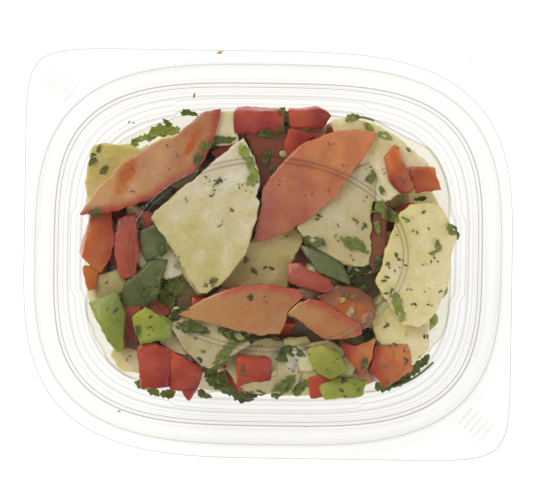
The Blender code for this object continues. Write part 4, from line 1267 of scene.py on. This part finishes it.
def leaf_material(name, dark, light, through):
    """Wet green leaf between a dark and a light green, with some light passing through."""
    made, tree, place = new_material(name)
    shade = node(tree, "Attribute", attribute_name="shade").outputs["Fac"]
    veins = node(tree, "TexNoise", {"Vector": place, "Scale": 900.0, "Detail": 4.0})
    vein_share = node(tree, "Math.MULTIPLY", (node(tree, "Math.SUBTRACT", (veins, 0.5)), 0.9))
    colour = node(tree, "Mix", {
        "Factor": node(tree, "Math.ADD", (shade, vein_share)), "A": linear(dark), "B": linear(light),
    }, data_type="RGBA", clamp_factor=True)
    body = node(tree, "BsdfPrincipled", {
        "Base Color": colour,
        "Roughness": 0.5,
        "Coat Weight": 0.1,
        "Coat Roughness": 0.2,
        "Normal": node(tree, "Bump", {"Height": veins, "Strength": 0.5, "Distance": 0.2 * MM}),
    })
    shine = node(tree, "BsdfTranslucent", {"Color": colour})
    node(tree, "OutputMaterial", {"Surface": node(tree, "MixShader", (through, body, shine))})
    return made


def collection_of(name, members):
    """A collection that a tree can read, with objects that are shown elsewhere."""
    made = bpy.data.collections.new(name)
    for member in members:
        made.objects.link(member)
    return made


# %% Lay the leaflets and the flakes
food_collection = collection_of("food_to_lie_on", food)
LOWEST = 31 * MM
LEAF_SCALE = 0.88
on_food = {"Food": food_collection, "Seed": 5, "Ceiling": 41.2 * MM, "Copies": 1}
leaf_rows = [(x, y, LEAF_SCALE * size, turn, shade) for x, y, size, turn, shade in LEAFLETS]
leaves = run_tree("parsley_leaflets", place_mesh("parsley_places", leaf_rows), laid_tree, {
    **on_food,
    "Piece": bpy.data.objects.new("parsley_leaflet", leaflet_mesh()),
    "Loose Turn": 0.2,
    "Lowest": LOWEST,
    "Drape": 2.2 * MM,
    "Crumple": 2.2 * MM,
    "Material": leaf_material("fresh_parsley_leaf", "#55652c", "#abbc52", 0.35),
}, wall=0.16 * MM)
LOOSE_FLAKES = 40
rng = random.Random(8)
flake_rows = [(x, y, 0.6 + 1.3 * rng.random() ** 2, 0, rng.random()) for x, y in FLAKES]
for _ in range(LOOSE_FLAKES):
    angle, far = rng.uniform(0, TAU), math.sqrt(rng.uniform(0, 0.9))
    reach = heap_reach(angle) * far
    flake_rows.append((reach * math.cos(angle), reach * math.sin(angle), 0.7, 0, rng.random()))
flakes = run_tree("herb_flakes", place_mesh("flake_places", flake_rows), laid_tree, {
    **on_food,
    "Piece": bpy.data.objects.new("herb_flake", flake_mesh()),
    "Copies": 2,
    "Spread": 1.0 * MM,
    "Loose Turn": math.pi,
    "Drape": 0.4 * MM,
    "Crumple": 0.5 * MM,
    "Material": leaf_material("dried_herb_flake", "#3f3c28", "#6f7040", 0.0),
})
print(len(leaf_rows), "leaflets,", 2 * len(flake_rows), "flakes")

# %% [markdown]
# The same tree lays the tomato seeds in their pocket, and the few crumbs that got on the lid when
# the tub was filled.

# %% Seeds and crumbs
SEEDS = (
    (22.0, -12.8, 2.4, 50, 0.1), (24.8, -16.2, 2.2, 80, 0.7), (4.1, 29.5, 2.2, 0, 1.0),
    (2.4, -34.6, 2.2, 60, 0.7), (-44.2, -33.4, 2.2, 30, 0.6), (-17.0, -27.0, 2.0, 100, 0.5),
)
CRUMBS = (
    (-15.0, 58.7, 1.6, 20, 0.9), (-22.2, 46.0, 1.4, 70, 0.6), (-42.4, -46.1, 1.1, 10, 0.1),
    (11.5, -49.8, 0.7, 0, 0.2), (44.5, -33.9, 0.6, 0, 0.1), (60.2, 58.4, 0.6, 40, 0.5),
)


def seed_mesh():
    """A tomato seed one metre long: a flat pip."""
    bm = bmesh.new()
    bmesh.ops.create_uvsphere(bm, u_segments=16, v_segments=10, radius=0.5)
    bmesh.ops.scale(bm, vec=(1, 0.75, 0.35), verts=bm.verts)
    return mesh_from("tomato_seed", bm)


seeds = run_tree("tomato_seeds", place_mesh("seed_places", SEEDS), laid_tree, {
    **on_food,
    "Piece": bpy.data.objects.new("tomato_seed", seed_mesh()),
    "Loose Turn": 0.3,
    "Drape": 0.3 * MM,
    "Material": leaf_material("tomato_seed", "#c79a58", "#c9cf8c", 0.15),
})
crumbs = run_tree("crumbs_on_lid", place_mesh("crumb_places", CRUMBS), laid_tree, {
    "Food": collection_of("lid_to_lie_on", [lid]),
    "Seed": 3,
    "Ceiling": 50 * MM,
    "Copies": 1,
    "Piece": bpy.data.objects.new("crumb", flake_mesh()),
    "Drape": 0.2 * MM,
    "Crumple": 0.8 * MM,
    "Material": leaf_material("dry_tomato_crumb", "#5a4026", "#d99a52", 0.1),
})
print(len(SEEDS), "seeds,", len(CRUMBS), "crumbs")

# %% [markdown]
# A few bare parsley stalks lie among the leaves. Each is three points, made a curve that follows
# the food, with a round section.

# %% Parsley stalks
stalk_tree, given = new_tree("stalks", {"Food": "Collection", "Radius": "Float"})
tree = stalk_tree
food_in = node(tree, "CollectionInfo", {"Collection": given["Food"]})
food_real = node(tree, "RealizeInstances", {"Geometry": food_in})
here, food_height = drop(tree, food_real)
resting = node(tree, "Math.ADD", (node(tree, "Math.MAXIMUM", (food_height, LOWEST)), 0.3 * MM))
resting = node(tree, "Math.MINIMUM", (resting, 40.6 * MM))
laid = node(tree, "SetPosition", {
    "Geometry": given["Geometry"], "Position": node(tree, "CombineXYZ", (here[0], here[1], resting)),
})
bendy = node(tree, "MeshToCurve", {"Mesh": laid})
bendy = node(tree, "CurveSplineType", {"Curve": bendy}, spline_type="NURBS")
bendy = node(tree, "ResampleCurve", {"Curve": bendy, "Count": 30})
section = node(tree, "CurvePrimitiveCircle", {"Resolution": 10, "Radius": given["Radius"]})
end_tree(tree, given, node(tree, "CurveToMesh", {
    "Curve": bendy, "Profile Curve": section.outputs["Curve"], "Fill Caps": True,
}))
print(len(tree.nodes), "nodes draw the stalks")

# %% Draw the stalks
STALKS = (
    ((22, 39.5), (26, 41.8), (30.5, 39.8)),
    ((36, -38.5), (43, -37.2), (49, -30.8)),
    ((30, 13), (35, 13.8), (41, 10.5)),
)
STALK_RADIUS = 0.35 * MM
STALK_STEPS = 8
stalk_points, stalk_links = [], []
for start, middle, end in STALKS:
    start, middle, end = Vector(start), Vector(middle), Vector(end)
    for k in range(STALK_STEPS + 1):
        t = k / STALK_STEPS
        spot = (start * (1 - t) ** 2 + middle * 2 * t * (1 - t) + end * t**2) * MM
        if k:
            stalk_links.append((len(stalk_points) - 1, len(stalk_points)))
        stalk_points.append((*spot, 0))
stalks = run_tree("parsley_stalks", new_mesh("stalk_lines", stalk_points, stalk_links), stalk_tree, {
    "Food": food_collection,
    "Radius": STALK_RADIUS,
    "Material": leaf_material("parsley_stalk", "#6f8c3a", "#9fb25c", 0.2),
})
for greens in (leaves, flakes, seeds, stalks):
    dress(greens, "salad_heap")
dress(crumbs, "lid")

# %% [markdown]
# ## The dressing on the floor
#
# Oil and vinegar run down and collect in the groove round the floor. Seen from above this is a
# pale film between the heap and the wall, with a wandering edge that draws a thin darker line. It
# is one ring of mesh whose outer edge follows noise, and it uses the clear material again.

# %% Dressing
AROUND = 480
FILM_ROWS = ((-12.0, 2.3, 0), (-3.0, 2.25, 0), (-0.8, 2.2, 0), (-0.4, 2.1, 0.8), (0, 1.8, 0.8))
film_points, film_lines = [], []
for k in range(AROUND):
    angle = TAU * k / AROUND
    wander = noise.noise(Vector((math.cos(angle) * 4, math.sin(angle) * 4, 7)))
    wander += 0.15 * noise.noise(Vector((math.cos(angle) * 14, math.sin(angle) * 14, 2)))
    edge = heap_reach(angle, FOOT) - 1.4 - 3.2 * min(1, max(0, 0.2 + wander))
    for off, height, line in FILM_ROWS:
        far = edge + off
        film_points.append((far * math.cos(angle) * MM, far * math.sin(angle) * MM, height * MM))
        film_lines.append(line)
film_faces = []
for k in range(AROUND):
    here, after = k * len(FILM_ROWS), (k + 1) % AROUND * len(FILM_ROWS)
    for row in range(len(FILM_ROWS) - 1):
        film_faces.append((here + row, here + row + 1, after + row + 1, after + row))
film = new_mesh("dressing_film", film_points, faces=film_faces)
store(film, "line", film_lines)
film.shade_smooth()
film.materials.append(clear_pet("oil_and_vinegar_dressing", "#f3f1e6", "#a09878", 0.02, 0.5))
dress(show("dressing_film", film), "salad_heap")

# %% [markdown]
# ## The core
#
# Nobody sees the middle of the heap, only darkness between the pieces. A plain lumpy core stops
# light and sight there. It stands for mashed potato and dressing, and its dark olive brown is
# painted shade, the darkness of the gaps.

# %% Core
CORE_LEVELS = ((14.0, 2.6), (8.0, 4.5), (7.5, 14.0), (8.0, 25.0), (12.0, 28.5))  # inset and height
CORE_SIDES = 96
bm = bmesh.new()
core_rings = []
for inset, height in CORE_LEVELS:
    ring = []
    for k in range(CORE_SIDES):
        angle = TAU * k / CORE_SIDES
        lump = noise.noise(Vector((math.cos(angle) * 3, math.sin(angle) * 3, height / 6)))
        far = heap_reach(angle) - inset + 1.2 * lump
        ring.append(bm.verts.new(Vector((far * math.cos(angle), far * math.sin(angle), height)) * MM))
    core_rings.append(ring)
for lower, upper in zip(core_rings, core_rings[1:]):
    for k in range(CORE_SIDES):
        after = (k + 1) % CORE_SIDES
        bm.faces.new((lower[k], lower[after], upper[after], upper[k]))
bm.faces.new(core_rings[0][::-1])
bm.faces.new(core_rings[-1])
core_mesh = mesh_from("salad_core", bm)
core_mesh.shade_smooth()
core_shade, tree, place = new_material("core_mash_in_painted_shade")
lumps = node(tree, "TexNoise", {"Vector": place, "Scale": 240.0, "Detail": 5.0})
# Painted shade: the two dark olive browns stand for the darkness in the gaps, not for the mash's own
# colour.
core_shade_colour = node(tree, "Mix", {
    "Factor": lumps, "A": linear("#5a4d2c"), "B": linear("#7a6a40"),
}, data_type="RGBA")
core_shade_body = node(tree, "BsdfPrincipled", {
    "Base Color": core_shade_colour,
    "Roughness": 0.4,
    "Coat Weight": 0.3,
    "Normal": node(tree, "Bump", {"Height": lumps, "Distance": 0.8 * MM}),
})
node(tree, "OutputMaterial", {"Surface": core_shade_body})
core_mesh.materials.append(core_shade)
dress(show("salad_core", core_mesh), "salad_heap")
